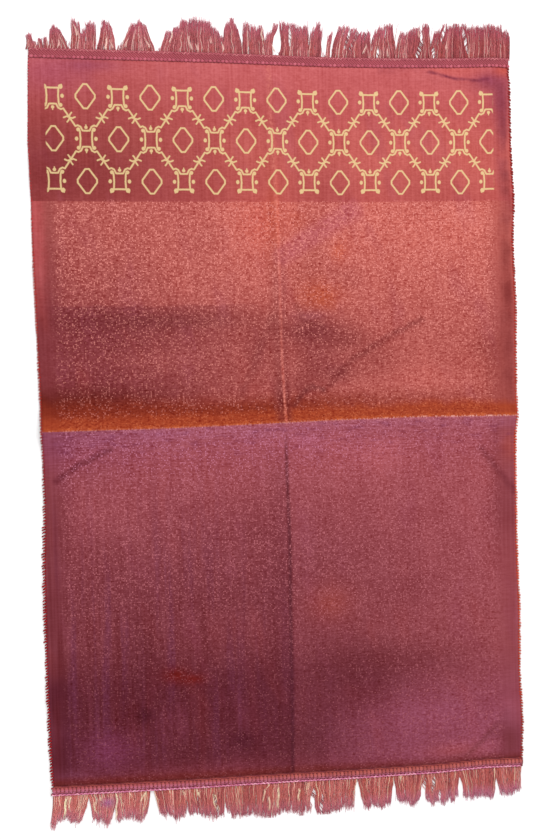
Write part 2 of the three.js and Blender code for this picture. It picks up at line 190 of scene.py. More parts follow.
def dye(red, green, blue):
    """A colour given as red, green and blue up to 255, as the shaders' linear light."""
    return tuple((v / 255 / 12.92) if v < 11 else ((v / 255 + 0.055) / 1.055) ** 2.4
                 for v in (red, green, blue))


def colour_setting(name, description, tone):
    return FloatVectorProperty(
        name=name, description=description, subtype="COLOR", size=3, min=0, max=1, default=tone)


# ---- Settings ----


class RugClothSettings(bpy.types.PropertyGroup):
    """Sizes and dyes of the pile cloth."""

    thickness: FloatProperty(
        name="Cloth thickness", description="Backing and short pile together",
        default=0.003, min=0.001, max=0.006, unit="LENGTH")
    selvedge_thickness: FloatProperty(
        name="Selvedge thickness", description="Where the overcast stitches pull the edge tight",
        default=0.0022, min=0.001, max=0.006, unit="LENGTH")
    cell: FloatProperty(
        name="Grid spacing", description="Between the columns and rows of the modelled cloth",
        default=0.0052, min=0.003, max=0.02, unit="LENGTH")
    rose: colour_setting("Rose", "The plain band", dye(199, 98, 100))
    coral: colour_setting("Coral", "The field in full light", dye(203, 103, 93))
    # Wine and plum are the field's red under painted shade.
    wine: colour_setting("Wine", "The field beyond the cross fold", dye(162, 77, 84))
    plum: colour_setting("Plum", "The deepest part of the field", dye(98, 35, 47))
    # Rust is painted warm shading on the pile above the cross fold, and lilac is painted cool sheen
    # below it.
    rust: colour_setting("Rust", "Pile pressed back along the cross fold", dye(163, 64, 38))
    lilac: colour_setting("Lilac", "Pile brushed toward the light", dye(170, 86, 104))
    gold: colour_setting("Gold", "The woven lattice", dye(214, 188, 136))
    peach: colour_setting("Peach", "Flecks of bare backing in the field", dye(224, 140, 131))


class RugYarnSettings(bpy.types.PropertyGroup):
    """Sizes and dyes of the sewing and of the fringe."""

    strands: IntProperty(
        name="Strands in a lock", description="Loose yarns over the darker ones of one lock",
        default=17, min=4, max=30)
    strand_diameter: FloatProperty(
        name="Strand diameter", description="Thickness of one loose yarn",
        default=0.0007, min=0.0002, max=0.002, unit="LENGTH")
    overcast_pitch: FloatProperty(
        name="Overcast pitch", description="From one edge stitch to the next",
        default=0.0042, min=0.003, max=0.02, unit="LENGTH")
    chain_pitch: FloatProperty(
        name="Chain stitch pitch", description="Length of one link of the chain stitch",
        default=0.0058, min=0.003, max=0.02, unit="LENGTH")
    whip_pitch: FloatProperty(
        name="Whip stitch pitch", description="From one stitch over the rib to the next",
        default=0.0057, min=0.003, max=0.02, unit="LENGTH")
    mauve: colour_setting("Mauve yarn", "Fringe at the patterned end", dye(202, 112, 117))
    brick: colour_setting("Brick yarn", "Fringe at the plain end", dye(220, 128, 122))
    pink: colour_setting("Pink thread", "Chain stitches", dye(176, 84, 99))


class RugStageSettings(bpy.types.PropertyGroup):
    """Light and floor."""

    sky: FloatProperty(name="Sky", description="Brightness of the soft surround",
                       default=0.88, min=0, max=3)
    lamp: FloatProperty(name="Lamp", description="Power of the large soft lamp",
                        default=38, min=0, max=500, unit="POWER")
    floor: colour_setting("Floor", "Plain pale floor", (0.97, 0.97, 0.97))


# ---- Shaders ----


class Value:
    """One output of a shader node. Arithmetic on it adds Math nodes."""

    def __init__(self, shader, socket):
        self.shader = shader
        self.socket = socket

    def __add__(self, other):
        return self.shader.math("ADD", self, other)

    def __radd__(self, other):
        return self.shader.math("ADD", other, self)

    def __sub__(self, other):
        return self.shader.math("SUBTRACT", self, other)

    def __rsub__(self, other):
        return self.shader.math("SUBTRACT", other, self)

    def __mul__(self, other):
        return self.shader.math("MULTIPLY", self, other)

    def __rmul__(self, other):
        return self.shader.math("MULTIPLY", other, self)

    def __truediv__(self, other):
        return self.shader.math("DIVIDE", self, other)

    def __mod__(self, other):
        return self.shader.math("FLOORED_MODULO", self, other)

    def __pow__(self, other):
        return self.shader.math("POWER", self, other)

    def __abs__(self):
        return self.shader.math("ABSOLUTE", self)

    def __gt__(self, other):
        return self.shader.math("GREATER_THAN", self, other)

    def __lt__(self, other):
        return self.shader.math("LESS_THAN", self, other)


class Shader:
    """A material's nodes, ending in one Principled surface."""

    def __init__(self, name, **constants):
        self.material = bpy.data.materials.new(name)
        self.material.use_nodes = True
        self.tree = self.material.node_tree
        self.surface = self.tree.nodes["Principled BSDF"]
        for socket, value in constants.items():
            self.surface.inputs[socket.replace("_", " ")].default_value = value

    def node(self, kind, settings=None, inputs=None, output=0):
        """Adds any node: its settings first, then what its sockets hold or are fed."""
        node = self.tree.nodes.new(kind)
        for name, value in (settings or {}).items():
            if name == "stops":
                stops = node.color_ramp.elements
                while len(stops) < len(value):
                    stops.new(0.5)
                for stop, (position, tone) in zip(stops, value):
                    stop.position = position
                    stop.color = (*tone, 1)
            else:
                setattr(node, name, value)
        for name, value in (inputs or {}).items():
            self.feed(node.inputs[name], value)
        return Value(self, node.outputs[output])

    def feed(self, socket, value):
        if isinstance(value, Value):
            self.tree.links.new(value.socket, socket)
        elif socket.type == "RGBA":
            socket.default_value = (*value[:3], 1)
        else:
            socket.default_value = value

    def finished(self, tone, roughness, height=None, strength=0.6, distance=0.0004):
        """Feeds the surface its colour, roughness and relief, and gives the material."""
        self.feed(self.surface.inputs["Base Color"], tone)
        self.feed(self.surface.inputs["Roughness"], roughness)
        if height is not None:
            relief = self.node("ShaderNodeBump", None, {
                "Strength": strength, "Distance": distance, "Height": height})
            self.feed(self.surface.inputs["Normal"], relief)
        return self.material

    def attribute(self, name, output=2):
        """What a piece keeps under a name: 2 for a number and 1 for three of them."""
        return self.node("ShaderNodeAttribute", {"attribute_name": name}, output=output)

    def math(self, operation, *values):
        return self.node("ShaderNodeMath", {"operation": operation}, dict(enumerate(values)))

    def least(self, first, *others):
        for other in others:
            first = self.math("MINIMUM", first, other)
        return first

    def most(self, first, *others):
        for other in others:
            first = self.math("MAXIMUM", first, other)
        return first

    def rise(self, value, start, end):
        """0 before start, 1 past end and smooth between; start may be above end."""
        return self.node("ShaderNodeMapRange", {"interpolation_type": "SMOOTHSTEP"},
                         {0: value, 1: start, 2: end})

    def parts(self, vector):
        split = self.node("ShaderNodeSeparateXYZ", None, {0: vector}).socket.node
        return [Value(self, socket) for socket in split.outputs]

    def point(self, x, y, z=0.0):
        return self.node("ShaderNodeCombineXYZ", None, {0: x, 1: y, 2: z})

    def mix(self, share, first, second):
        """The first colour with a share of the second laid over it."""
        return self.node("ShaderNodeMix", {"data_type": "RGBA"},
                         {0: share, 6: first, 7: second}, output=2)

    def mix_numbers(self, share, first, second):
        return self.node("ShaderNodeMix", {"data_type": "FLOAT"}, {0: share, 2: first, 3: second})

    def brighten(self, tone, amount):
        """A colour times a number."""
        return self.node("ShaderNodeVectorMath", {"operation": "SCALE"},
                         {0: tone, "Scale": amount})

    def tint(self, tone, amount):
        """Lightens or darkens a colour as pile does: its shade is redder than its light."""
        return self.node("ShaderNodeVectorMath", {"operation": "MULTIPLY"},
                         {0: tone, 1: self.point(1 + amount * 0.75, 1 + amount * 1.5,
                                                 1 + amount * 1.5)})

    def noise(self, x, y, detail=2.0, seed=0.0):
        """Soft noise from -1 to 1, one patch to each unit of x and y."""
        raw = self.node("ShaderNodeTexNoise", {"noise_dimensions": "3D"},
                        {"Vector": self.point(x, y, seed), "Scale": 1.0, "Detail": detail})
        return raw * 2 - 1

    def white_noise(self, cell, output):
        """A number from 0 to 1 for each cell, or three of them as output 1."""
        return self.node("ShaderNodeTexWhiteNoise", {"noise_dimensions": "2D"},
                         {"Vector": cell}, output)

    def shades(self, value, tones):
        """Colours spread evenly over the values from 0 to 1."""
        stops = [(i / (len(tones) - 1), tone) for i, tone in enumerate(tones)]
        return self.node("ShaderNodeValToRGB", {"stops": stops}, {0: value})

    def ramp(self, value, stops, lowest=0, highest=1):
        """Colours at places along a line, blended between them."""
        share = (value - lowest) / (highest - lowest)
        spread = [((place - lowest) / (highest - lowest), tone) for place, tone in stops]
        return self.node("ShaderNodeValToRGB", {"stops": spread}, {0: share})

    def to_segment(self, x, y, start, end):
        """How far a place is from a straight stretch between two points."""
        run = (end[0] - start[0], end[1] - start[1])
        square = run[0] ** 2 + run[1] ** 2
        along = (x - start[0]) * (run[0] / square) + (y - start[1]) * (run[1] / square)
        along = self.node("ShaderNodeClamp", None, {0: along})
        return self.distance(x - (along * run[0] + start[0]), y - (along * run[1] + start[1]))

    def to_line(self, x, y, points):
        return self.least(*[self.to_segment(x, y, *ends) for ends in zip(points, points[1:])])

    def distance(self, x, y):
        return (x * x + y * y) ** 0.5

    def patch(self, x, y, middle, reach):
        """A soft-edged oval: 1 in its middle and 0 well outside its reach."""
        across, along = (x - middle[0]) / reach[0], (y - middle[1]) / reach[1]
        return self.math("EXPONENT", 0 - (across * across + along * along))


def drawn_place(shader):
    """Object coordinates as millimetres from the drawn middle of the cloth."""
    place = shader.node("ShaderNodeTexCoord", output=3)
    x, y, _ = shader.parts(place)
    return x * 1000 - MIDDLE[0], y * 1000 - MIDDLE[1]


# The lattice of the patterned band: half its pitch across and along, its first square and the
# lowest row of squares.
HALF_PITCH = (45.15, 58.5)
FIRST_SQUARE = (-318.4, 464.1)
LAST_SQUARES = 347.1
LATTICE_SIDES = (-329, 320.3)
FIELD_END = 319  # where the band begins
FLECK_CELL = (2.1, 1.9)


def lattice_lines(m, x, y):
    """How far a place is from the nearest line of the lattice's motifs."""
    wide, tall = HALF_PITCH
    s = (x - FIRST_SQUARE[0]) / wide
    r = (FIRST_SQUARE[1] - y) / tall
    a = abs((s + 1) % 2 - 1)
    b = abs((r + 1) % 2 - 1)
    other = (a + b) > 1
    a = m.mix_numbers(other, a, 1 - a)
    b = m.mix_numbers(other, b, 1 - b)
    across, along = a * wide, b * tall

    beside = m.least(
        m.to_segment(across, along, (7.9, 0), (8.6, 11)),
        m.distance(across - 13.4, along * 0.85) - 1.2,
    )
    nearer = a > b
    from_side = abs(across - wide * nearer)
    from_end = abs(along - tall * (1 - nearer))
    diamond = m.to_line(from_side, from_end, [(0, 16.7), (2.6, 16.7), (13.4, 2.2), (13.4, 0)])

    middle = (22.6, 29.3)
    laced = m.least(
        m.to_line(across, along, [(0, 11), (4.9, 11.2), (7.6, 16.5), (11.2, 18.4), (14.6, 17.3)]),
        m.to_segment(across, along, (14.6, 17.3), middle),
        m.distance(across - 10.8, along - 12.6) - 1.5,
        m.distance(across, along - 15.6) - 1.1,
        m.to_segment(across, along, (0, 15.6), (0, 19)) + 0.4,
        m.to_line(across, along, [middle, (18.6, 28.0), (14.8, 29.6)]) + 0.1,
        m.to_line(across, along, [middle, (23.4, 25.6), (25.6, 22.8)]) + 0.1,
    )
    plain = m.least(
        m.to_segment(across, along, (0, 10.8), (8.6, 11)),
        m.distance(across - 11.2, along - 12.6) - 2.0,
        m.to_segment(across, along, (11.2, 12.6), (12.6, 15.2)) + 0.1,
    )
    inside = (y < FIRST_SQUARE[1]) * (y > LAST_SQUARES)
    side = plain + (laced - plain) * inside
    near_rows = m.least(abs(y - FIRST_SQUARE[1]), abs(y - LAST_SQUARES)) < 30
    shown = m.most(inside, near_rows)
    return m.least(beside, diamond, side) + (1 - shown) * 50


class VelourPlace:
    """What the velour's layers share: where a point is and how the pile stands there."""

    def __init__(self, m):
        x, y = drawn_place(m)
        cross, along, edge = m.parts(m.attribute("fold_distances", 1))
        woven_y = y - m.attribute("row_bow")
        self.m, self.x, self.y, self.woven_y = m, x, y, woven_y
        self.cross, self.along, self.edge = cross, along, edge
        self.above = cross > 0
        self.below = 1 - self.above
        self.beyond = m.rise(cross, 8, -8)
        self.before = 1 - self.beyond
        self.leftward = m.rise(x, 20, -330)
        self.rightward = m.rise(x, -40, 330)
        self.near_fold = m.rise(cross, -110, -20) * self.below
        self.deep = m.patch(x, y, (-230, -350), (220, 220)) * self.beyond

        # Masks above the cross fold, along a wandering line: dark painted shade in the low ground
        # and warm painted shading on the flank.
        wander = m.noise(x / 26, y / 40, 3.0, 7.0) * 9
        self.climb = cross + wander * m.rise(cross, 2, 20)
        self.hollow_shade = m.rise(self.climb, 18, 34) * m.rise(self.climb, 74, 40)
        self.hollow_shade = self.hollow_shade * m.rise(x, -60, -300)
        lean = self.rightward * 4
        self.warm_shading = m.rise(self.climb, 27 + lean, 10 + lean) * self.above

        self.ragged = m.noise(x / 9, y / 9, 2.0, 4.0)
        self.cloud = m.noise(x / 60, y / 34, 3.0, 15.0)
        self.streak = m.noise(x / 3.2, y / 120, 2.0, 1.0)
        self.row = m.noise(x / 12, woven_y / 2.1, 2.0, 3.0)
        self.tuft = m.noise(x / 3.6, woven_y / 2.4, 2.0, 5.0)
        self.mottle = m.noise(x / 7.5, y / 5.5, 2.0, 18.0)
        inside = m.rise(x + self.tuft * 5, -333, -312) * m.rise(x + self.tuft * 5, 330, 308)
        self.field = m.rise(woven_y + self.tuft * 3 + self.ragged * 3, 322, 317) * inside


def field_tone(v, cloth):
    """The field's red under painted shade: it dulls toward the cross fold, the left and the
    margins, and is wine to plum beyond, with painted mauve sheen at the lower right and painted
    light along the upper left edge.
    """
    m, x, y = v.m, v.x, v.y
    step = v.woven_y + m.noise(x / 40, 0, 2.0, 11.0) * 5
    stepped = m.rise(x, 0, -95) * m.rise(step, 176, 170)
    margins = m.rise(abs(x + 4), 298, 326)
    dulled = m.rise(y, 330, 110) * 0.4 + v.leftward * 0.44 + stepped * 0.22 + margins * 0.2
    near_tone = m.mix(dulled, cloth.coral, dye(132, 55, 60))

    deepened = m.rise(y, -30, -270) * 0.62 + m.rise(y, -300, -390) * 0.34
    deepened = deepened * (1 - v.rightward * 0.74) + margins * m.rise(y, -230, -120) * 0.3
    far_tone = m.mix(deepened, cloth.wine, cloth.plum)
    # Painted mauve sheen toward the lower right.
    mauve = m.rise(y, -330, -470) * m.rise(x, -20, 180)
    far_tone = m.mix(mauve * 0.6, far_tone, dye(152, 74, 98))
    tone = m.mix(v.beyond, near_tone, far_tone)
    # Painted light along the upper left edge.
    rim = m.rise(v.edge + v.ragged * 5, 26, 4) * m.rise(x, 0, -200) * m.rise(y, 110, 270)
    return m.mix(rim * 0.7, tone, dye(196, 88, 90))


def add_band(v, tone, cloth):
    """The plain band, palest by its tape and dimmer at its left under painted shade."""
    m = v.m
    band = m.ramp(v.y, [(320, dye(190, 88, 84)), (385, dye(198, 96, 90)),
                        (450, dye(190, 88, 87)), (505, cloth.rose)], -HALF_LENGTH, HALF_LENGTH)
    # Painted shade over the band's left.
    dim = m.patch(v.x, v.y, (-330, 360), (210, 105))
    band = m.mix(dim * 0.95, band, dye(134, 52, 54))
    return m.mix(v.woven_y > FIELD_END, tone, band)


def add_brushing(v, tone):
    """Brushed patches, warmer or cooler, drawn out along the warp."""
    m, x, y = v.m, v.x, v.y
    drift = m.noise(x / 44 + y / 190, y / 120, 3.0)
    tone = m.mix(m.rise(drift, 0.05, 0.6) * (0.2 - v.beyond * 0.08), tone, dye(182, 72, 60))
    tone = m.mix(m.rise(drift, -0.05, -0.45) * 0.22, tone, dye(152, 70, 92))
    tone = m.tint(tone, v.cloud * 0.16)
    panel = m.noise(x / 15, y / 260, 2.0, 12.0)
    tone = m.mix(m.rise(panel, 0.0, 0.4) * v.deep * 0.5, tone, dye(104, 32, 38))
    return m.mix(m.rise(panel, 0.0, -0.4) * v.deep * 0.5, tone, dye(112, 50, 76))


# Single marks: a few stains (the rust mark and the dark spots low on the left), and patches of
# painted shade and painted light along the folds and the pile: where, how far they reach across and
# along, how much they show and their colour.
MARKS = [
    ((56, 182), (30, 22), 0.75, dye(200, 86, 50)),
    ((84, 246), (12, 15), 0.5, dye(206, 88, 54)),
    ((26, 293), (16, 18), 0.45, dye(190, 78, 54)),
    ((-28, 285), (34, 40), 0.35, dye(204, 84, 66)),
    ((43, 153), (24, 8), 0.55, dye(170, 92, 104)),
    ((40, 130), (44, 17), 0.7, dye(114, 42, 50)),
    ((96, 118), (30, 16), 0.4, dye(120, 44, 44)),
    ((78, 70), (28, 13), 0.5, dye(116, 44, 46)),
    ((22, 48), (26, 20), 0.45, dye(126, 48, 50)),
    ((96, 208), (26, 22), 0.35, dye(150, 62, 62)),
    ((-36, 110), (20, 40), 0.4, dye(126, 52, 56)),
    ((-190, 148), (130, 15), 0.55, dye(108, 40, 44)),
    ((44, 240), (36, 90), 0.4, dye(158, 72, 66)),
    ((44, 106), (50, 72), 0.3, dye(120, 48, 50)),
    ((-140, 325), (46, 56), 0.35, dye(158, 66, 68)),
    ((75, 340), (34, 52), 0.4, dye(160, 68, 70)),
    ((215, 335), (60, 36), 0.35, dye(170, 76, 74)),
    ((-50, -135), (34, 36), 0.3, dye(120, 46, 54)),
    ((-314, -130), (18, 56), 0.4, dye(118, 44, 52)),
    ((-290, -64), (56, 24), 0.3, dye(128, 54, 70)),
    ((230, -360), (56, 36), 0.25, dye(118, 50, 62)),
    ((-112, 262), (26, 30), 0.35, dye(160, 72, 70)),
    ((134, 86), (40, 30), 0.4, dye(138, 58, 58)),
    ((-30, 60), (26, 60), 0.2, dye(140, 58, 60)),
    ((-120, -506), (240, 15), 0.5, dye(140, 60, 72)),
    ((330, -492), (22, 30), 0.75, dye(112, 42, 46)),
    ((338, -42), (16, 24), 0.5, dye(170, 70, 52)),
    ((80, -250), (60, 60), 0.2, dye(160, 78, 84)),
    ((-180, 92), (90, 18), 0.3, dye(176, 88, 86)),
    ((306, 104), (24, 18), 0.55, dye(140, 52, 48)),
    ((316, 70), (20, 30), 0.4, dye(150, 62, 54)),
    ((206, 60), (60, 22), 0.3, dye(206, 104, 96)),
    ((-320, 500), (50, 30), 0.5, dye(168, 78, 104)),
    ((-262, 508), (40, 9), 0.4, dye(140, 62, 96)),
    ((314, 497), (22, 15), 0.8, dye(138, 58, 80)),
    ((332, 474), (15, 40), 0.7, dye(140, 60, 80)),
    ((338, 512), (14, 8), 0.6, dye(204, 84, 62)),
    ((262, 510), (60, 7), 0.3, dye(204, 92, 76)),
    ((-168, -362), (18, 12), 0.9, dye(112, 22, 14)),
    ((-142, -369), (16, 7), 0.8, dye(116, 24, 18)),
    ((-215, -330), (30, 60), 0.3, dye(86, 28, 38)),
    ((-213, -418), (13, 11), 0.7, dye(72, 16, 30)),
    ((-262, -466), (36, 28), 0.75, dye(130, 56, 86)),
    ((-318, -502), (24, 14), 0.4, dye(140, 70, 96)),
    ((-10, 296), (10, 60), 0.4, dye(214, 92, 64)),
    ((-72, -464), (20, 14), 0.45, dye(78, 24, 40)),
    ((118, -372), (60, 40), 0.5, dye(98, 36, 44)),
    ((20, -462), (30, 30), 0.35, dye(86, 32, 42)),
    ((190, -250), (40, 20), 0.2, dye(122, 46, 56)),
    ((215, -440), (60, 26), 0.4, dye(162, 82, 106)),
    ((60, 112), (60, 34), 0.3, dye(124, 48, 54)),
    ((46, 76), (36, 30), 0.35, dye(128, 50, 56)),
    ((296, -494), (24, 9), 0.5, dye(168, 84, 106)),
    ((-332, -374), (14, 20), 0.5, dye(84, 24, 40)),
    ((-325, -450), (10, 50), 0.4, dye(86, 26, 42)),
    ((-72, -460), (14, 9), 0.5, dye(84, 24, 38)),
    ((60, -268), (34, 26), 0.4, dye(172, 74, 60)),
    ((163, -358), (70, 16), 0.4, dye(112, 40, 46)),
    ((108, -404), (40, 20), 0.4, dye(108, 36, 44)),
    ((-266, -20), (18, 9), 0.5, dye(168, 92, 128)),
    ((-185, -14), (44, 8), 0.5, dye(168, 92, 126)),
    ((-45, -20), (20, 8), 0.4, dye(168, 92, 120)),
    ((28, -28), (22, 12), 0.45, dye(176, 96, 124)),
    ((-318, -26), (22, 18), 0.5, dye(118, 50, 84)),
    ((250, -500), (46, 12), 0.4, dye(178, 84, 84)),
    ((130, -50), (60, 30), 0.4, dye(190, 96, 104)),
    ((-45, -162), (22, 13), 0.3, dye(110, 40, 48)),
    ((-270, -128), (50, 30), 0.35, dye(164, 80, 90)),
]
LILAC_SHEEN_STROKE = ((2, 240), (106, 306))


def add_marks(v, tone):
    """Single marks, one stroke of painted lilac sheen and a band of painted warm shading by the
    plain end's tape.
    """
    m, x, y = v.m, v.x, v.y
    for middle, reach, amount, shade in MARKS:
        tone = m.mix(m.patch(x, y, middle, reach) * amount, tone, shade)
    # Painted lilac sheen along a small ridge.
    stroke = m.rise(m.to_segment(x, y, *LILAC_SHEEN_STROKE), 22, 5)
    tone = m.mix(stroke * (0.5 + v.ragged * 0.3), tone, dye(184, 92, 102))
    # Painted warm shading in dark brown where the cloth rises to the plain end's tape.
    pressed = m.rise(v.woven_y + v.ragged * 4 + v.rightward * 4, -499, -512)
    return m.mix(pressed * 0.7, tone, dye(114, 36, 28))


def add_cross_fold(v, tone, cloth):
    """Rust shade above the cross fold, browner and then dark in the low ground toward the left, all
    painted shading; a painted highlight on its crest and painted lilac sheen below it.
    """
    m, x, ragged = v.m, v.x, v.ragged
    tone = m.mix(v.hollow_shade * 0.95, tone, dye(106, 34, 28))
    browned = m.rise(v.climb, 52, 24) * v.above * (0.95 - v.rightward * 0.7)
    tone = m.mix(browned, tone, dye(134, 46, 28))
    tone = m.mix(v.warm_shading * 0.95, tone, cloth.rust)
    # Painted highlight along the crest.
    crest = m.rise(v.cross, 7, 1) * v.above
    tone = m.mix(crest * (0.25 + ragged * 0.7), tone, dye(212, 104, 54))
    # Painted cool sheen in lilac below the crest, palest near it and darker toward the left.
    lilac = m.rise(v.cross, -72, -8) * v.below
    tone = m.mix(lilac * (0.42 + ragged * 0.2 - v.rightward * 0.16), tone, cloth.lilac)
    palest = m.rise(v.cross, -24, -4) * v.below
    tone = m.mix(palest * (0.35 + ragged * 0.4), tone, dye(180, 100, 122))
    tone = m.mix(m.rise(x, -120, -330) * lilac * 0.5, tone, dye(134, 62, 88))
    blotch = m.noise(x / 20, v.y / 8, 2.0, 22.0)
    return m.mix(m.rise(blotch, 0.0, 0.5) * lilac * 0.5, tone, dye(124, 50, 82))


# Small creases: their lines, how far they reach, how deep and how dark the painted shade in their
# bottoms is.
CREASES = [
    ([(67, 52), (101, 88), (135, 109), (173, 130), (206, 145)], 10, 0.46, dye(118, 40, 42)),
    ([(-328, -76), (-295, -54), (-252, -34)], 8, 0.6, dye(104, 34, 46)),
    ([(293, -46), (318, -78), (344, -112)], 9, 0.45, dye(110, 38, 48)),
    ([(224, 507), (262, 499), (290, 496), (312, 498)], 4.6, 0.6, dye(112, 34, 60)),
    ([(150, 508), (190, 512), (224, 507)], 9, 0.16, dye(124, 44, 66)),
    ([(-62, 40), (-40, 90), (-16, 150)], 12, 0.2, dye(108, 40, 44)),
    ([(14, 24), (28, 42), (40, 50), (58, 44)], 8, 0.5, dye(100, 34, 38)),
    ([(262, -510), (284, -490), (310, -462)], 8, 0.35, dye(112, 42, 44)),
    ([(20, 168), (30, 146), (60, 136)], 8, 0.22, dye(104, 36, 42)),
]


def add_creases(v, tone):
    """Creases with uneven sides, with painted shade in their bottoms."""
    m, x, y, ragged = v.m, v.x, v.y, v.ragged
    bent_x, bent_y = x + ragged * 2, y + m.noise(x / 16, y / 16, 2.0, 16.0) * 3
    for points, reach, depth, shade in CREASES:
        gap = m.to_line(bent_x, bent_y, points)
        tone = m.mix(m.rise(gap, reach, 0) * (depth + ragged * depth), tone, shade)
    return tone


def add_length_fold(v, tone):
    """The fold along the rug: a painted highlight on its ridge, then a soft valley of painted
    shade, with painted shade and light beside them.
    """
    m, y, along = v.m, v.y, v.along
    near_cross = m.rise(v.cross, 90, 25) * v.before
    near_end = m.rise(y, 180, 480)
    patchy_line = m.noise(v.x / 2.6, y / 5, 2.0, 17.0)
    flank_shade = v.before * (1 - near_end)
    shadow = m.rise(along, -22, -5) * m.rise(along, 0, -4) * flank_shade
    tone = m.mix(shadow * (0.24 + near_cross * 0.3), tone, dye(108, 40, 46))
    shadow = m.rise(along, 14, 4) * m.rise(along, 1, 3) * flank_shade
    tone = m.mix(shadow * (0.2 + near_cross * 0.3), tone, dye(112, 42, 46))
    # Painted highlight along the ridge.
    ridge = m.rise(abs(along + near_end * 4), 3.2 + near_end * 3, 0.3) * v.before
    ridge = ridge * (0.2 + m.rise(y, 150, 90) * 0.12 + near_cross * 0.06 + patchy_line * 0.8)
    tone = m.mix(ridge, tone, dye(232, 134, 120))
    # Painted shade left of the valley and in its bottom, painted light right of it.
    left_of = m.rise(along, 2, -2) * m.rise(along, -50, -2) * v.beyond
    left_of = left_of * m.rise(v.cross, -20, -90)
    tone = m.mix(left_of * 0.3, tone, dye(96, 34, 46))
    valley = m.rise(abs(along + 1), 4.5, 0.5) * m.rise(v.cross, -6, -50)
    tone = m.mix(valley * (0.5 + patchy_line * 0.3), tone, dye(78, 26, 38))
    right_of = m.rise(along, 0, 6) * m.rise(along, 50, 6) * v.beyond
    return m.mix(right_of * 0.14, tone, dye(172, 86, 98))


def add_right_run(v, tone):
    """The dark run inside the right selvedge."""
    m, x, y = v.m, v.x, v.y
    edge = v.edge + m.noise(x / 9, y / 26, 2.0, 19.0) * 5
    run = m.rise(edge, 30, 13) * m.rise(edge, 1, 10) * m.rise(x, 0, 100)
    run = run * m.rise(y, 10, 60) * m.rise(y, 520, 440)
    shade = m.mix(m.rise(y, 320, 400), dye(124, 44, 44), dye(118, 46, 64))
    return m.mix(run * (0.5 + v.cloud * 0.8), tone, shade)


def add_grain(v, tone):
    """Streaks along the warp, fine rows of pile across it and the tufts themselves."""
    m, x, field, beyond = v.m, v.x, v.field, v.beyond
    broad = m.noise(x / 17, v.y / 300, 2.0, 2.0)
    comb_row = m.noise(x / 34, v.woven_y / 1.5, 2.0, 23.0)
    grain = v.streak * (0.24 - field * 0.08 + v.deep * 0.26) + broad * 0.12
    grain = grain + v.mottle * (0.16 + field * 0.26 - beyond * 0.14)
    grain = grain + v.row * (0.14 + field * 0.12)
    grain = grain + v.tuft * (0.2 + field * 0.6 - beyond * 0.16)
    grain = grain + comb_row * beyond * (0.12 + v.near_fold * 0.4)
    return m.brighten(m.tint(tone, grain), 0.8)


def add_flecks(v, tone, cloth):
    """Dots of pale backing between the tufts, one at most to each cell, in uneven crowds."""
    m, x, y, beyond, rightward = v.m, v.x, v.y, v.beyond, v.rightward
    crowd = m.noise(x / 30, y / 22, 3.0, 9.0)
    upper = m.rise(y, 40, 260)
    combed = m.noise(x / 11, v.woven_y / 3.6, 2.0, 21.0)
    across = (x + v.tuft * 1.6) / FLECK_CELL[0]
    down = (v.woven_y + v.mottle * 1.6) / FLECK_CELL[1]
    cell = m.point(m.math("FLOOR", across), m.math("FLOOR", down))
    chance = m.white_noise(cell, 0)
    aside, ahead, _ = m.parts(m.white_noise(cell, 1))
    off_middle = m.distance(across % 1 - 0.28 - aside * 0.44,
                            (down % 1 - 0.28 - ahead * 0.44) * 0.9)
    bare = 0.69 - upper * 0.17 - beyond * 0.07 - crowd * 0.34 - combed * v.near_fold * 0.3
    bare = bare + m.rise(y, -240, -420) * 0.16 + v.warm_shading * 0.06
    near_clear = 0.64 + upper * 0.42 + rightward * 0.1
    far_clear = 0.98 - m.rise(y, -150, -420) * (0.62 - rightward * 0.3)
    clear = near_clear + beyond * (far_clear - near_clear)
    clear = clear - m.most(v.warm_shading, v.hollow_shade * v.before) * 0.14
    clear = clear - m.patch(x, y, (-200, 150), (130, 26)) * 0.22
    fleck = m.most((chance - bare) / (1 - bare), 0) ** 1.3 * m.rise(off_middle, 0.62, 0.16)
    # Flecks follow the painted shading around them: lilac near the fold below it and orange in the
    # rust shade above it.
    far_shade = m.mix(v.near_fold * (1 - rightward * 0.6), dye(186, 108, 116),
                      dye(196, 122, 150))
    near_shade = m.mix(v.warm_shading, cloth.peach, dye(206, 116, 78))
    tone = m.mix(fleck * v.field * clear, tone, m.mix(beyond, near_shade, far_shade))

    # Along the crest of the cross fold the backing grins through.
    grin = m.rise(abs(v.cross - 0.4), 1.9, 0.5)
    grin = grin * m.rise(m.noise(x / 2.4, y / 5, 1.0, 6.0), -0.1, 0.2)
    return m.mix(grin * (0.25 + rightward * 0.5), tone, dye(222, 160, 150))


def add_lattice(v, tone, cloth):
    """The woven lattice, a little worn."""
    m, x, (first, last) = v.m, v.x, LATTICE_SIDES
    worn = m.noise(x / 1.9, v.y / 1.9, 2.0, 8.0)
    lines = lattice_lines(m, x, v.woven_y) + worn * 0.6
    gold = m.rise(lines, 1.8, 0.65) * m.rise(x, first - 1, first + 1)
    gold = gold * m.rise(x, last + 1, last - 1)
    return m.mix(gold * (0.84 + worn * 0.3), tone, cloth.gold)


def make_velour(cloth):
    """Brushed velour: a band with a woven lattice, then a long flecked field."""
    m = Shader("velour", Specular_IOR_Level=0.04, Sheen_Weight=0.04, Sheen_Roughness=0.5)
    v = VelourPlace(m)
    tone = field_tone(v, cloth)
    tone = add_band(v, tone, cloth)
    tone = add_brushing(v, tone)
    tone = add_marks(v, tone)
    tone = add_cross_fold(v, tone, cloth)
    tone = add_creases(v, tone)
    tone = add_length_fold(v, tone)
    tone = add_right_run(v, tone)
    tone = add_grain(v, tone)
    tone = add_flecks(v, tone, cloth)
    tone = add_lattice(v, tone, cloth)
    height = v.row * 0.5 + v.tuft * 0.6 + v.streak * 0.25
    return m.finished(tone, 0.88 + v.tuft * 0.1, height, 0.5, 0.0004)


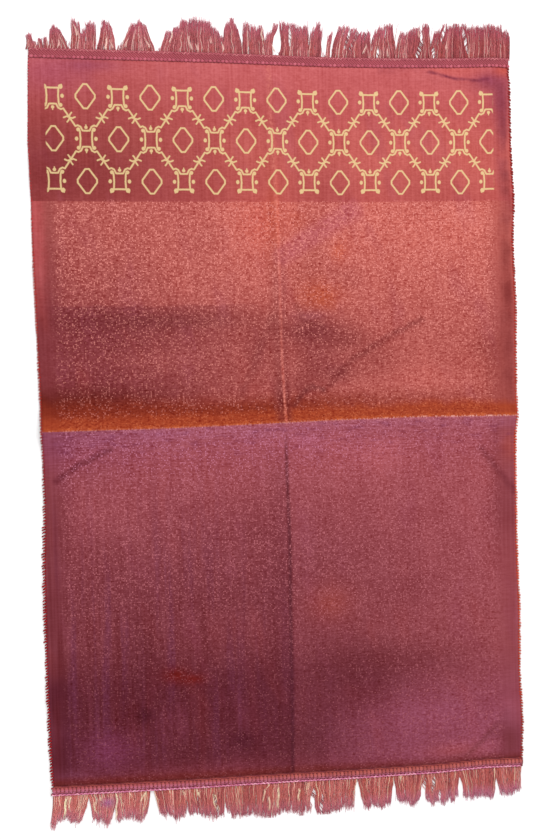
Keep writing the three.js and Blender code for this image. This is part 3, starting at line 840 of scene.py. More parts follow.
def make_backing():
    """The flat woven back: pale warp ends crossed by fine dark wefts."""
    m = Shader("woven_backing", Specular_IOR_Level=0.15)
    x, y = drawn_place(m)
    ends = m.math("SINE", x * (2 * math.pi / 2.4)) * m.math("SINE", y * (2 * math.pi / 2.9))
    slub = m.noise(x / 3, y / 40, 2.0)
    cloudy = m.noise(x / 90, y / 90, 3.0, 2.0)
    tone = m.mix(m.rise(ends, -0.5, 0.6), dye(132, 70, 72), dye(186, 128, 122))
    tone = m.brighten(tone, 1 + slub * 0.25 + cloudy * 0.2)
    return m.finished(tone, 0.9 + slub * 0.08, ends)


def make_tape_cloth(name, twill, dark, light):
    """A narrow twill tape with diagonal ribs."""
    m = Shader(name, Specular_IOR_Level=0.15, Sheen_Weight=0.1, Sheen_Roughness=0.5)
    x, y = drawn_place(m)
    rib = m.math("SINE", (x * twill + y) * (2 * math.pi / 3.4))
    grain = m.noise(x / 1.2, y / 1.2, 2.0)
    tint = m.noise(x / 60, y / 30, 2.0, 3.0)
    tone = m.mix(m.rise(rib + grain * 0.7, -0.8, 0.8), dark, light)
    tone = m.brighten(tone, 1 + tint * 0.3 + grain * 0.15)
    return m.finished(tone, 0.88 + grain * 0.1, rib + grain, distance=0.0003)


# ---- Lines and folds of the cloth ----


def at(table, place):
    """The value that a table of points gives at a place, on straight lines."""
    places, values = zip(*table)
    return np.interp(place, places, values)


def smooth(value, start, end):
    share = np.clip((value - start) / (end - start), 0, 1)
    return share ** 2 * (3 - 2 * share)


def flank(distance, reach):
    """1 on a ridge's crest, falling steeply from it and running out level at its foot."""
    left = np.clip(1 - np.abs(distance) / reach, 0, None)
    return left ** 2 * (1 + 0.35 * (1 - left))


def valley_side(distance, reach):
    """0 in the bottom of a valley, 1 on the rise beside it and 0 at its foot."""
    share = np.clip(np.abs(distance) / reach, 0, 1)
    return 6.75 * share * (1 - share) ** 2


def distance_to_line(x, y, points):
    least = np.full(np.shape(x), np.inf)
    for (ax, ay), (bx, by) in zip(points, points[1:]):
        run_x, run_y = bx - ax, by - ay
        share = ((x - ax) * run_x + (y - ay) * run_y) / (run_x ** 2 + run_y ** 2)
        share = np.clip(share, 0, 1)
        least = np.minimum(least, np.hypot(x - ax - share * run_x, y - ay - share * run_y))
    return least


def uneven(n):
    """A repeatable number from -1 to 1 for the nth thing of its kind."""
    turned = np.sin(n * 12.9898) * 43758.5453
    return 2 * (turned - np.floor(turned)) - 1


def lift(x, y):
    """How far the cloth stands off the floor."""
    from_cross = y - at(CROSS_FOLD_LINE, x)
    from_length = x - at(LENGTH_FOLD_LINE, y)
    reach = np.where(from_cross > 0, *CROSS_FOLD_REACH)
    cross = CROSS_FOLD_HEIGHT * flank(from_cross, reach)
    ridge = LENGTH_RIDGE[0] * flank(from_length, LENGTH_RIDGE[1])
    valley = LENGTH_VALLEY[0] * valley_side(from_length, LENGTH_VALLEY[1])
    along = valley + (ridge - valley) * smooth(from_cross, -FOLD_HANDOVER, FOLD_HANDOVER)
    small = np.zeros(np.shape(x))
    for height, width, points in SMALL_RIDGES:
        small = np.maximum(small, height * flank(distance_to_line(x, y, points), width))
    wave = np.sin(2 * np.pi * y / RIPPLE[2] + np.sign(x))
    ripple = RIPPLE[0] * np.clip(wave, 0, None) * flank(HALF_WIDTH - np.abs(x), RIPPLE[1])
    held = smooth(HALF_LENGTH - np.abs(y), *END_FADE)
    return held * np.maximum.reduce([cross, along, small, ripple])


def root_line(x, end):
    """Where the fringe's roots are; end is 1 at the patterned end and -1 at the plain one."""
    return end * (HALF_LENGTH + at(PATTERNED_END if end > 0 else PLAIN_END, x))


def column_line(even, y):
    """A column of the cloth, bent by the fold along it and by its selvedges."""
    pull = 1 - np.abs(even) / HALF_WIDTH
    edge = np.where(even > 0, at(RIGHT_SELVEDGE, y), -at(LEFT_SELVEDGE, y))
    return even + pull * at(LENGTH_FOLD_LINE, y) + (1 - pull) * edge


def pulled_in(side, y):
    """How far a selvedge is pulled in, toward +X where that is inward."""
    return np.where(side > 0, at(RIGHT_PULL, y), -at(LEFT_PULL, y))


def row_line(even, x):
    """A row of the cloth, bent by the cross fold and by the ends."""
    pull = 1 - np.abs(even) / HALF_LENGTH
    wander = np.where(even > 0, root_line(x, 1) - HALF_LENGTH, root_line(x, -1) + HALF_LENGTH)
    return even + pull * at(CROSS_FOLD_LINE, x) + (1 - pull) * wander


# ---- Modelling ----


def deselect():
    if bpy.context.object and bpy.context.object.mode != "OBJECT":
        bpy.ops.object.mode_set(mode="OBJECT")
    bpy.ops.object.select_all(action="DESELECT")


def corners(piece):
    found = np.empty(len(piece.data.vertices) * 3)
    piece.data.vertices.foreach_get("co", found)
    return found.reshape(-1, 3)


def place_corners(piece, millimetres):
    """Moves a piece's vertices to places given from the drawn middle of the cloth."""
    metres = (millimetres + (MIDDLE[0], MIDDLE[1], 0)) / 1000
    piece.data.vertices.foreach_set("co", metres.ravel())
    piece.data.update()


def keep_values(piece, name, values, kind="FLOAT"):
    """Keeps a value for every vertex of a piece, for its material to read."""
    store = piece.data.attributes.new(name, kind, "POINT")
    store.data.foreach_set("vector" if kind == "FLOAT_VECTOR" else "value", np.ravel(values))


def take_pattern(piece):
    """The shape of a modelled pattern piece, which is then taken away."""
    deselect()
    piece.select_set(True)
    bpy.context.view_layer.objects.active = piece
    bpy.ops.object.mode_set(mode="EDIT")
    bpy.ops.mesh.select_all(action="SELECT")
    bpy.ops.mesh.quads_convert_to_tris()
    bpy.ops.mesh.normals_make_consistent(inside=False)
    bpy.ops.object.mode_set(mode="OBJECT")
    shape = corners(piece)
    faces = np.empty(len(piece.data.polygons) * 3, int)
    piece.data.polygons.foreach_get("vertices", faces)
    mesh = piece.data
    bpy.data.objects.remove(piece)
    bpy.data.meshes.remove(mesh)
    return shape, faces.reshape(-1, 3)


def sew_copies(name, copies, faces, values):
    """One piece made of many copies of a pattern: copies holds each one's vertices."""
    count, size = copies.shape[:2]
    mesh = bpy.data.meshes.new(name)
    offsets = np.arange(count)[:, None, None] * size
    mesh.from_pydata(copies.reshape(-1, 3).tolist(), [], (faces + offsets).reshape(-1, 3).tolist())
    piece = bpy.data.objects.new(name, mesh)
    bpy.context.collection.objects.link(piece)
    place_corners(piece, copies.reshape(-1, 3))
    for label, amounts in values.items():
        keep_values(piece, label, np.broadcast_to(amounts, (count, size)))
    mesh.shade_smooth()
    return piece


def finish_piece(piece, material, slot, *nodes):
    piece.data.materials.append(material)
    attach(piece, "root")
    if nodes:
        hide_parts(*nodes)


class RUG_OT_velour(bpy.types.Operator):
    """Model the pile cloth with its folds"""

    bl_idname = "rug.velour"
    bl_label = "Velour cloth"

    def execute(self, context):
        cloth = context.scene.rug_cloth
        spacing = cloth.cell * 1000
        columns = self.spaced(HALF_WIDTH, spacing, 22)
        rows = self.spaced(HALF_LENGTH - LAST_ROW, spacing, 44)
        ends = np.array([CLOTH_END_SETBACK, PRESSED_EDGE, PILE_EDGE])
        count = (len(columns), len(rows) + 6)
        deselect()
        bpy.ops.mesh.primitive_grid_add(
            x_subdivisions=count[0] - 1, y_subdivisions=count[1] - 1, size=1)
        sheet = context.object
        sheet.name = sheet.data.name = "velour_sheet"
        bpy.ops.object.mode_set(mode="EDIT")
        bpy.ops.mesh.select_all(action="SELECT")
        bpy.ops.mesh.extrude_region_move(TRANSFORM_OT_translate={"value": (0, 0, 1)})
        bpy.ops.mesh.select_all(action="SELECT")
        bpy.ops.mesh.normals_make_consistent(inside=False)
        bpy.ops.object.mode_set(mode="OBJECT")

        at_rest = corners(sheet)
        column = np.rint((at_rest[:, 0] + 0.5) * (count[0] - 1)).astype(int)
        row = np.rint((at_rest[:, 1] + 0.5) * (count[1] - 1)).astype(int)
        top = at_rest[:, 2] > 0.5
        even_x = columns[column]
        from_last = count[1] - 1 - row
        even_y = rows[np.clip(row - 3, 0, len(rows) - 1)]
        y = row_line(even_y, even_x)
        y = np.where(row < 3, root_line(even_x, -1) + ends[np.clip(row, 0, 2)], y)
        y = np.where(from_last < 3, root_line(even_x, 1) - ends[np.clip(from_last, 0, 2)], y)
        x = column_line(even_x, y)
        x = x - pulled_in(even_x, y) * smooth(np.abs(even_x), HALF_WIDTH - PULL_REACH, HALF_WIDTH)

        pressed = np.minimum(row, from_last) < 2
        in_from_edge = np.minimum(column, count[0] - 1 - column)
        full, thin = cloth.thickness * 1000, cloth.selvedge_thickness * 1000
        thickness = np.select([pressed, in_from_edge == 0], [PRESSED_THICKNESS, thin], full)
        nap = 0.12 * np.sin(x / 3.1 + 1.7 * np.sin(y / 23)) * np.sin(y / 4.3 + np.sin(x / 31))
        nap = np.where(pressed | (in_from_edge == 0), 0, nap)
        z = lift(x, y) + np.where(top, thickness + nap, 0)
        place_corners(sheet, np.column_stack([x, y, z]))
        keep_values(sheet, "fold_distances", np.column_stack([
            y - at(CROSS_FOLD_LINE, x), x - at(LENGTH_FOLD_LINE, y),
            HALF_WIDTH - np.abs(even_x)]), "FLOAT_VECTOR")
        keep_values(sheet, "row_bow", row_line(even_y, even_x) - even_y)

        finish_piece(sheet, make_velour(cloth), "velour", "pile_cloth")
        sheet.data.materials.append(make_backing())
        facing = np.empty(len(sheet.data.polygons) * 3)
        sheet.data.polygons.foreach_get("normal", facing)
        under = facing.reshape(-1, 3)[:, 2] < -0.5
        sheet.data.polygons.foreach_set("material_index", under.astype(int))
        sheet.data.shade_smooth()
        return {"FINISHED"}

    @staticmethod
    def spaced(half, spacing, reach):
        """Even spacing, twice as close near the fold in the middle and at the edge."""
        places = [0.0]
        while places[-1] < half:
            near = places[-1] < reach or places[-1] > half - 10
            places.append(places[-1] + (spacing * 0.45 if near else spacing))
        upper = np.array(places[1:]) * (half / places[-1])
        return np.concatenate([-upper[::-1], [0.0], upper])


class RUG_OT_overcast(bpy.types.Operator):
    """Overcast both selvedges with thick yarn"""

    bl_idname = "rug.overcast"
    bl_label = "Overcast edges"

    def execute(self, context):
        yarn = context.scene.rug_yarn
        pitch = yarn.overcast_pitch * 1000
        for side, name in ((-1, "overcast_left"), (1, "overcast_right")):
            shape, faces = self.stitch_pattern()
            y = np.arange(-HALF_LENGTH + OVERCAST_INSET, HALF_LENGTH - OVERCAST_INSET, pitch)
            n = np.arange(len(y)) + (0 if side < 0 else 500)
            y = y + 0.5 * uneven(n)
            x = column_line(np.full(len(y), side * HALF_WIDTH), y) - pulled_in(side, y)
            size = 1 + 0.14 * uneven(n + 0.3)
            reach = at(LEFT_REACH if side < 0 else RIGHT_REACH, y) * (1 + 0.3 * uneven(n + 0.9))
            out = shape[None, :, 0] * np.where(shape[None, :, 0] > 0, reach[:, None], 4.0)
            slant = shape[None, :, 1] * size[:, None]
            over = shape[None, :, 2] * (1.2 if side > 0 else 0.9) * size[:, None]
            placed = np.stack([
                x[:, None] + side * out,
                y[:, None] + slant - 0.35 * out,
                np.maximum(over + 1.45, 0.02)], axis=-1)
            placed[..., 2] += lift(x, y)[:, None]
            piece = sew_copies(name, placed, faces, {
                "shade": (0.5 + 0.5 * uneven(n + 0.7))[:, None],
                "along": ((y + HALF_LENGTH) / (2 * HALF_LENGTH))[:, None]})
            finish_piece(piece, self.edge_yarn(name, side), "velour")
        return {"FINISHED"}

    @staticmethod
    def stitch_pattern():
        """One stitch: a ring of yarn around the edge, pulled to a point on the outside."""
        deselect()
        bpy.ops.mesh.primitive_torus_add(
            major_segments=10, minor_segments=6, major_radius=3.0, minor_radius=1.0,
            rotation=(math.pi / 2, 0, 0))
        bpy.ops.object.transform_apply(location=False, rotation=True, scale=False)
        bpy.ops.object.mode_set(mode="EDIT")
        bpy.ops.mesh.select_all(action="SELECT")
        bpy.ops.transform.resize(value=(0.25, 1.4, 0.42))
        bpy.ops.object.mode_set(mode="OBJECT")
        shape, faces = take_pattern(bpy.context.object)
        shape[:, 1] *= 1 - 0.25 * np.clip(shape[:, 0], 0, 1)
        return shape, faces

    @staticmethod
    def edge_yarn(name, side):
        # The right selvedge's orange is painted warm light on the edge that faces it.
        if side < 0:
            return make_edge_yarn(name, [
                (0.0, dye(142, 16, 28)), (0.3, dye(142, 16, 24)), (0.49, dye(136, 22, 32)),
                (0.51, dye(146, 26, 14)), (0.75, dye(166, 40, 36)), (1.0, dye(172, 64, 74))])
        return make_edge_yarn(name, [
            (0.0, dye(140, 34, 26)), (0.2, dye(184, 60, 32)), (0.45, dye(190, 62, 34)),
            (0.62, dye(170, 46, 30)), (0.8, dye(146, 32, 28)), (1.0, dye(136, 32, 34))])


def make_edge_yarn(name, stops):
    """Overcasting yarn, whose shade changes down the edge and from stitch to stitch."""
    m = Shader(name, Specular_IOR_Level=0.2, Sheen_Weight=0.15, Sheen_Roughness=0.4)
    x, y = drawn_place(m)
    fibre = m.noise(x / 1.4, y / 0.5, 2.0)
    tone = m.ramp(m.attribute("along"), stops)
    tone = m.brighten(tone, 0.82 + m.attribute("shade") * 0.36 + fibre * 0.25)
    return m.finished(tone, 0.82 + fibre * 0.12)


class RUG_OT_tapes(bpy.types.Operator):
    """Model the tapes that are sewn over both ends of the cloth"""

    bl_idname = "rug.tapes"
    bl_label = "End tapes"

    def execute(self, context):
        flat = self.carry("flat_tape", FLAT_TAPE, 1)
        twill = make_tape_cloth("mauve_twill", 0.9, dye(128, 50, 60), dye(166, 78, 88))
        finish_piece(flat, twill, "mauve_yarn", "patterned_end_fringe")
        ribbed = self.carry("ribbed_tape", RIBBED_TAPE, -1)
        twill = make_tape_cloth("rust_twill", 0.15, dye(112, 42, 50), dye(146, 66, 62))
        finish_piece(ribbed, twill, "rust_yarn", "plain_end_fringe")
        return {"FINISHED"}

    @staticmethod
    def carry(name, section, end, stations=232):
        """A tape's solid: its section, carried from one selvedge to the other."""
        corners_around = len(section)
        deselect()
        bpy.ops.mesh.primitive_grid_add(
            x_subdivisions=stations, y_subdivisions=corners_around, size=1)
        tape = bpy.context.object
        tape.name = tape.data.name = name
        at_rest = corners(tape)
        share = at_rest[:, 0] + 0.5
        corner = np.rint((at_rest[:, 1] + 0.5) * corners_around).astype(int) % corners_around
        out, z = np.array(section, float)[corner].T
        left = column_line(np.array(-HALF_WIDTH), end * HALF_LENGTH) + TAPE_INSET[end]
        right = column_line(np.array(HALF_WIDTH), end * HALF_LENGTH)
        x = left + share * (right - left)
        bulge = 0.12 * np.sin(x / 1.9) * (z > 2.6)
        y = root_line(x, end) + end * out
        place_corners(tape, np.column_stack([x, y, z + bulge]))
        bpy.ops.object.mode_set(mode="EDIT")
        bpy.ops.mesh.select_all(action="SELECT")
        bpy.ops.mesh.remove_doubles(threshold=1e-6)
        bpy.ops.mesh.fill_holes(sides=0)
        bpy.ops.mesh.select_all(action="SELECT")
        bpy.ops.mesh.normals_make_consistent(inside=False)
        bpy.ops.object.mode_set(mode="OBJECT")
        bpy.ops.object.shade_smooth_by_angle(angle=math.radians(50))
        return tape


class RUG_OT_stitches(bpy.types.Operator):
    """Sew both tapes down with chain and whip stitches"""

    bl_idname = "rug.stitches"
    bl_label = "Tape stitches"

    def execute(self, context):
        yarn = context.scene.rug_yarn
        chain = yarn.chain_pitch * 1000
        whip = yarn.whip_pitch * 1000
        dash = self.dash_pattern()
        bar = self.bar_pattern()
        pale = [dye(166, 80, 92), dye(184, 98, 106), dye(206, 126, 130)]
        pink = [dye(158, 72, 86), tuple(yarn.pink), dye(190, 98, 112)]
        lilac = [dye(190, 100, 136), dye(216, 130, 160), dye(238, 172, 190)]
        dusk = [dye(158, 76, 112), dye(186, 102, 136), dye(212, 132, 160)]
        coral = [dye(156, 74, 68), dye(168, 83, 76), dye(180, 92, 84)]

        # Each row: its end, how far out from the roots, its height and pitch, the size of a
        # stitch, how far it leans and whether every second one leans the other way.
        rows = (
            ("root_chain_patterned_end", dash, 1, -1.2, 3.4, 2.9,
             (4.8, 1.5, 1.5), 42, True, "pale_thread", pale, "mauve_yarn"),
            ("bead_chain_patterned_end", dash, 1, -10.9, 3.4, chain,
             (5.0, 4.6, 2.4), 6, False, "pink_thread", pink, "mauve_yarn"),
            ("root_chain_plain_end", dash, -1, 0.0, 3.4, chain / 2,
             (4.4, 2.3, 1.6), 26, True, "lilac_thread", lilac, "rust_yarn"),
            ("edge_cord_plain_end", dash, -1, -3.1, 3.5, whip / 2,
             (3.7, 1.2, 1.3), 26, True, "lilac_cord", dusk, "rust_yarn"),
            ("whip_stitches_plain_end", bar, -1, -7.6, 4.0, whip,
             (5.1, 8.0, 2.1), -12, False, "coral_thread", coral, "rust_yarn"),
        )
        for (name, pattern, end, out, height, pitch, size, lean, turned, finish, tones,
             slot) in rows:
            shape, faces = pattern
            copies = self.row(shape, end, out, height, pitch, size, math.radians(lean), turned)
            n = np.arange(len(copies))
            piece = sew_copies(name, copies, faces, {
                "shade": (0.5 + 0.5 * uneven(n + height * 7))[:, None],
                "along": np.clip(0.5 + shape[:, 1], 0, 1)[None, :]})
            finish_piece(piece, make_thread(finish, tones, pattern is bar), slot)
        return {"FINISHED"}

    @staticmethod
    def dash_pattern():
        """One short stretch of thread that comes up, lies on the tape and goes down again."""
        deselect()
        bpy.ops.mesh.primitive_uv_sphere_add(
            segments=6, ring_count=6, radius=0.5, rotation=(0, math.pi / 2, 0))
        bpy.ops.object.transform_apply(location=False, rotation=True, scale=False)
        shape, faces = take_pattern(bpy.context.object)
        shape[:, 2] -= 0.6 * shape[:, 0] ** 2
        return shape, faces

    @staticmethod
    def bar_pattern():
        """One whip stitch, a rounded bar of thread bent over the rib."""
        deselect()
        bpy.ops.mesh.primitive_uv_sphere_add(
            segments=8, ring_count=9, radius=0.5, rotation=(math.pi / 2, 0, 0))
        bpy.ops.object.transform_apply(location=False, rotation=True, scale=False)
        shape, faces = take_pattern(bpy.context.object)
        shape[:, 0] *= 1 + 0.25 * shape[:, 1]
        shape[:, 2] += 0.3 - 2.0 * shape[:, 1] ** 2
        return shape, faces

    @staticmethod
    def row(pattern, end, out, height, pitch, size, lean, turned):
        """Copies of a stitch along a tape, out from the roots and at a height."""
        start = -HALF_WIDTH + STITCH_INSET[end] + pitch * 0.5
        x = np.arange(start, HALF_WIDTH - pitch * 0.6, pitch)
        n = np.arange(len(x)) + out * 10
        x = x + 0.04 * pitch * uneven(n)
        scale = (1 + 0.07 * uneven(n + 0.4))[:, None]
        leans = np.where(np.arange(len(x)) % 2 == 1, -lean, lean) if turned else lean
        turn = np.broadcast_to(leans, x.shape)[:, None] + 0.09 * uneven(n + 0.8)[:, None]
        length = pattern[None, :, 0] * size[0] * scale
        width = pattern[None, :, 1] * size[1] * scale
        placed_x = x[:, None] + length * np.cos(turn) - width * np.sin(turn)
        across = length * np.sin(turn) + width * np.cos(turn)
        placed_y = root_line(placed_x, end) + end * (out + across)
        return np.stack([placed_x, placed_y, height + pattern[None, :, 2] * size[2] * scale],
                        axis=-1)


def make_thread(name, tones, whip):
    """Sewing thread; a whip stitch takes painted lilac sheen at its outer end, most of all at the
    left, and painted warm shading at its inner foot.
    """
    m = Shader(name, Specular_IOR_Level=0.12, Sheen_Weight=0.08, Sheen_Roughness=0.4)
    along = m.attribute("along")
    x, y = drawn_place(m)
    tone = m.shades(m.attribute("shade"), tones)
    fibre = m.noise(x / 0.5, y / 0.9, 2.0)
    area = m.noise(x / 30, 0, 2.0, 4.0)
    if whip:
        tone = m.mix(m.rise(x, 40, -320) * 0.5, tone, dye(168, 78, 92))
        # Painted lilac sheen at the outer end and painted warm shading at the inner foot.
        outer = m.rise(along, 0.25, 0.85) * (0.25 + m.rise(x, 120, -160) * 0.5)
        tone = m.mix(outer, tone, dye(196, 110, 138))
        tone = m.mix(m.rise(along, 0.25, 0.05) * 0.5, tone, dye(120, 40, 36))
    tone = m.tint(tone, fibre * 0.2 + area * 0.12)
    return m.finished(tone, 0.8 + fibre * 0.15)


class RUG_OT_fringes(bpy.types.Operator):
    """Lay the loose yarns of both fringes"""

    bl_idname = "rug.fringes"
    bl_label = "Fringe yarns"

    def execute(self, context):
        yarn = context.scene.rug_yarn
        strand, faces = self.strand_pattern()
        ends = (
            (1, "patterned_end_yarns", PATTERNED_FRINGE, "patterned_end_fringe", "mauve_yarn", [
                dye(132, 56, 62), dye(162, 79, 84), dye(186, 98, 103), tuple(yarn.mauve),
                dye(224, 150, 152), dye(248, 220, 206)], dye(196, 102, 126), dye(182, 84, 74)),
            (-1, "plain_end_yarns", PLAIN_FRINGE, "plain_end_fringe", "rust_yarn", [
                dye(148, 66, 64), dye(182, 92, 90), dye(206, 112, 110), tuple(yarn.brick),
                dye(236, 164, 158), dye(255, 238, 204)], dye(212, 130, 162), dye(204, 106, 84)),
        )
        for end, name, clumps, node, slot, tones, tip, warm in ends:
            copies, values = self.lay(strand, clumps, end, yarn)
            piece = sew_copies(name, copies, faces, values)
            finish_piece(piece, make_fringe_yarn(name, tones, tip, warm, end), slot, node)
        return {"FINISHED"}

    @staticmethod
    def strand_pattern(segments=8):
        """One straight yarn with three sides, one unit long and one unit thick."""
        deselect()
        bpy.ops.mesh.primitive_cylinder_add(vertices=3, radius=0.5, depth=1, location=(0, 0, 0.5))
        strand = bpy.context.object
        bpy.ops.object.transform_apply(location=True, rotation=False, scale=False)
        bpy.ops.object.mode_set(mode="EDIT")
        for i in range(1, segments):
            bpy.ops.mesh.select_all(action="SELECT")
            bpy.ops.mesh.bisect(plane_co=(0, 0, i / segments), plane_no=(0, 0, 1))
        bpy.ops.object.mode_set(mode="OBJECT")
        return take_pattern(strand)

    def lay(self, strand, clumps, end, yarn):
        """Bends a copy of the strand along every yarn of every lock."""
        chance = np.random.default_rng(17 if end > 0 else 23)
        groups, number = [], 1
        for clump in clumps:
            for lock in self.locks(clump, number):
                groups.append(self.yarns_of(lock, yarn.strands, chance))
            number += clump[-1]
        groups.append(self.loose_ends(chance))
        groups.append(self.streaks(PALE_STREAKS[end], chance))
        y = {key: np.concatenate([group[key] for group in groups])[:, None] for key in groups[0]}

        along = strand[None, :, 2]
        out = y["start"] + (y["reach"] - y["start"]) * along
        spread = np.clip(out / y["fan"], 0, 1)
        x = y["root"] + (y["tip"] - y["root"]) * spread ** 1.15
        x = x + y["bow"] * np.sin(np.pi * spread)
        x = x + 0.5 * y["side"] * (y["width"] + (y["tip_width"] - y["width"]) * spread)
        x = x + y["flare"] * along ** 2.2
        x = x + y["wave"] * np.sin(y["turns"] * out + y["phase"]) * np.clip(out / 4, 0, 1)
        for foot, head, low, high, half in SLITS[end]:
            from_foot = (out - low) / (high - low)
            middle = foot + (head - foot) * from_foot
            wide = half * np.sin(np.pi * np.clip(from_foot, 0, 1)) ** 0.5
            away = np.abs(x - middle)
            parted = wide + away * (1 - wide / (5 * half))
            x = np.where(away < 5 * half, middle + np.sign(x - middle) * parted, x)
        thick = yarn.strand_diameter * 1000 * y["thick"] * (1 - 0.35 * along ** 3)
        z = y["height"] * (1 - 0.35 * along) + 0.14 * np.sin(out * 0.7 + y["phase"])
        z = np.maximum(z, 0.1 + 0.5 * thick)
        placed = np.stack([
            x + strand[None, :, 0] * thick,
            root_line(y["root"], end) + end * out,
            z + strand[None, :, 1] * thick], axis=-1)
        return placed, {"shade": y["shade"], "along": np.broadcast_to(along, x.shape)}

    @staticmethod
    def locks(clump, first_number, side_spread=1.1):
        """The locks of a clump, whose roots spread a little past it on both sides."""
        start, stop, tip_start, tip_stop, near, middle, far, count = clump
        gaps = max(1, count - 1)
        for i in range(count):
            share = i / gaps if count > 1 else 0.5
            before, after = (near, middle) if share < 0.5 else (middle, far)
            reach = before + (after - before) * (share * 2 if share < 0.5 else share * 2 - 1)
            spread = side_spread * (2 * share - 1) if count > 2 else 0
            room = (stop - start + 2 * abs(spread)) / gaps if count > 1 else 4.8
            tip_room = abs(tip_stop - tip_start) / gaps if count > 1 else 2.6
            yield {
                "root": start + (stop - start) * share + spread,
                "tip": tip_start + (tip_stop - tip_start) * share,
                "reach": min(52, reach + 2.2 * uneven(first_number + i)
                             + 3.6 * uneven(first_number + i + 0.5)),
                "fan": max(near, middle, far),
                "width": min(7.5, room * 1.2),
                "tip_width": min(6.0, max(1.8, tip_room * 1.3)),
                "bow": 1.2 * uneven(first_number),
            }

    @staticmethod
    def yarns_of(lock, count, chance):
        """The yarns of one lock: dark ones beneath, loose ones over them, a pale one on top."""
        under, pale = 7, chance.binomial(3, 0.5 if lock["root"] < -110 else 0.3)
        total = under + count + pale
        kind = np.repeat([0, 1, 2], [under, count, pale])
        side = np.concatenate([
            np.linspace(-0.95, 0.95, under), np.linspace(-1, 1, count),
            chance.uniform(-1, 1, pale)])
        side = side + chance.normal(0, 0.1, total)
        part = np.select([kind == 0, kind == 2], [0.93, chance.uniform(0.3, 0.95, total)], 1)
        stray = chance.random(total) < 0.05
        lock_shade = chance.normal(0, 0.07)
        shade = np.select(
            [kind == 0, kind == 2],
            [chance.uniform(0.0, 0.3, total), chance.uniform(0.86, 1.0, total)],
            np.clip(0.1 + chance.beta(1.8, 2.0, total) * 0.74 + lock_shade, 0.08, 0.86))
        phase = chance.uniform(0, 2 * math.pi) + chance.normal(0, 0.8, total)
        return {
            **{key: np.full(total, lock[key])
               for key in ("root", "tip", "fan", "width", "tip_width", "bow")},
            "start": np.full(total, -0.6),
            "reach": np.clip(lock["reach"] * part * (1 + chance.normal(0, 0.06, total)), 4, 53),
            "side": side,
            "flare": chance.normal(0, 0.5, total) + stray * chance.normal(0, 3.2, total),
            "wave": np.abs(chance.normal(0.6, 0.35, total)) * (kind > 0),
            "turns": chance.uniform(0.16, 0.42, total),
            "phase": phase,
            "height": np.select([kind == 0, kind == 2], [0.55, chance.uniform(1.7, 2.1, total)],
                                chance.uniform(0.9, 1.8, total)),
            "thick": np.select([kind == 0, kind == 2], [1.9, chance.uniform(0.9, 1.3, total)],
                               chance.uniform(0.8, 1.15, total)),
            "shade": shade,
        }

    @staticmethod
    def loose_ends(chance, count=280):
        """Short broken yarns along the roots, which fill the feet of the gaps."""
        root = chance.uniform(-347, 347, count)
        reach = 2.5 + 11 * chance.random(count) ** 1.8
        return {
            "root": root, "tip": root + chance.normal(0, 2.2, count), "reach": reach,
            "start": np.full(count, -0.6), "fan": reach * 1.2, "side": chance.uniform(-1, 1, count),
            "width": np.full(count, 2.0), "tip_width": np.full(count, 1.0),
            "bow": chance.normal(0, 0.6, count), "flare": chance.normal(0, 1.2, count),
            "wave": np.full(count, 0.3), "turns": np.full(count, 0.4),
            "phase": chance.uniform(0, 6, count), "height": chance.uniform(0.6, 1.3, count),
            "thick": chance.uniform(1.0, 1.5, count),
            "shade": np.where(chance.random(count) < 0.12, 0.95, chance.uniform(0.1, 0.7, count)),
        }

    @staticmethod
    def streaks(table, chance, each=4):
        """Bunches of undyed yarns that lie on top."""
        foot, head, low, high = np.repeat(np.array(table, float), each, axis=0).T
        count = len(foot)
        side = np.tile(np.linspace(-1, 1, each), len(table))
        return {
            "root": foot, "tip": head, "start": low + chance.uniform(-1, 3, count),
            "reach": high + chance.uniform(-4, 2, count), "fan": high, "side": side,
            "width": np.full(count, 2.4), "tip_width": np.full(count, 1.6),
            "bow": np.repeat(chance.normal(0, 0.8, len(table)), each),
            "flare": chance.normal(0, 0.3, count),
            "wave": np.full(count, 0.9), "turns": np.repeat(
                chance.uniform(0.2, 0.4, len(table)), each),
            "phase": np.repeat(chance.uniform(0, 6, len(table)), each)
            + chance.normal(0, 0.4, count),
            "height": chance.uniform(1.9, 2.3, count), "thick": chance.uniform(1.0, 1.4, count),
            "shade": chance.uniform(0.88, 1.0, count),
        }


def make_fringe_yarn(name, tones, tip, warm, end):
    """Loose yarn: each has its own shade, warmer by its root and cooler by its tip."""
    m = Shader(name, Specular_IOR_Level=0.08, Sheen_Weight=0.06, Sheen_Roughness=0.4)
    shade, along = m.attribute("shade"), m.attribute("along")
    x, y = drawn_place(m)
    tone = m.shades(shade, tones)
    dyed = m.rise(shade, 0.9, 0.8)
    fibre = m.noise(x / 0.6, y / 2.4, 2.0)
    area = m.noise(x / 14, y / 30, 2.0, 4.0)
    tone = m.mix(m.rise(area, -0.1, 0.4) * m.rise(along, 0.9, 0.2) * dyed * 0.5, tone, warm)
    to_tip = 0.4 + (m.rise(x, 20, 300) * 0.35 if end < 0 else 0.15)
    tone = m.mix(m.rise(along, 0.5, 1.0) * dyed * to_tip, tone, tip)
    tone = m.mix(m.patch(x, y, (-268, -541), (10, 7)) * 0.6, tone, dye(164, 98, 158))
    faded = m.rise(x, 110, 260) * -0.2 if end > 0 else m.rise(x, -100, -320) * 0.2
    tone = m.tint(tone, (fibre * 0.3 + area * 0.2 + faded) * 0.8)
    return m.finished(tone, 0.82 + fibre * 0.12)


# The stage, in metres, with the camera's sensor and lens in millimetres and turns in degrees.
FLOOR_SIZE = 8
FLOOR_DROP = 0.0002
LAMP_SIZE = (2.4, 1.6)
LAMP_PLACE = (0.7, 1.5, 2.0)
LAMP_TURN = (-38, 18, 0)
CAMERA_SENSOR = 36
CAMERA_LENS = 38.57
CAMERA_PLACE = (-0.1642, 0.0347, 1.3004)
CAMERA_TURN = (-1.25, -6.63, -1.44)


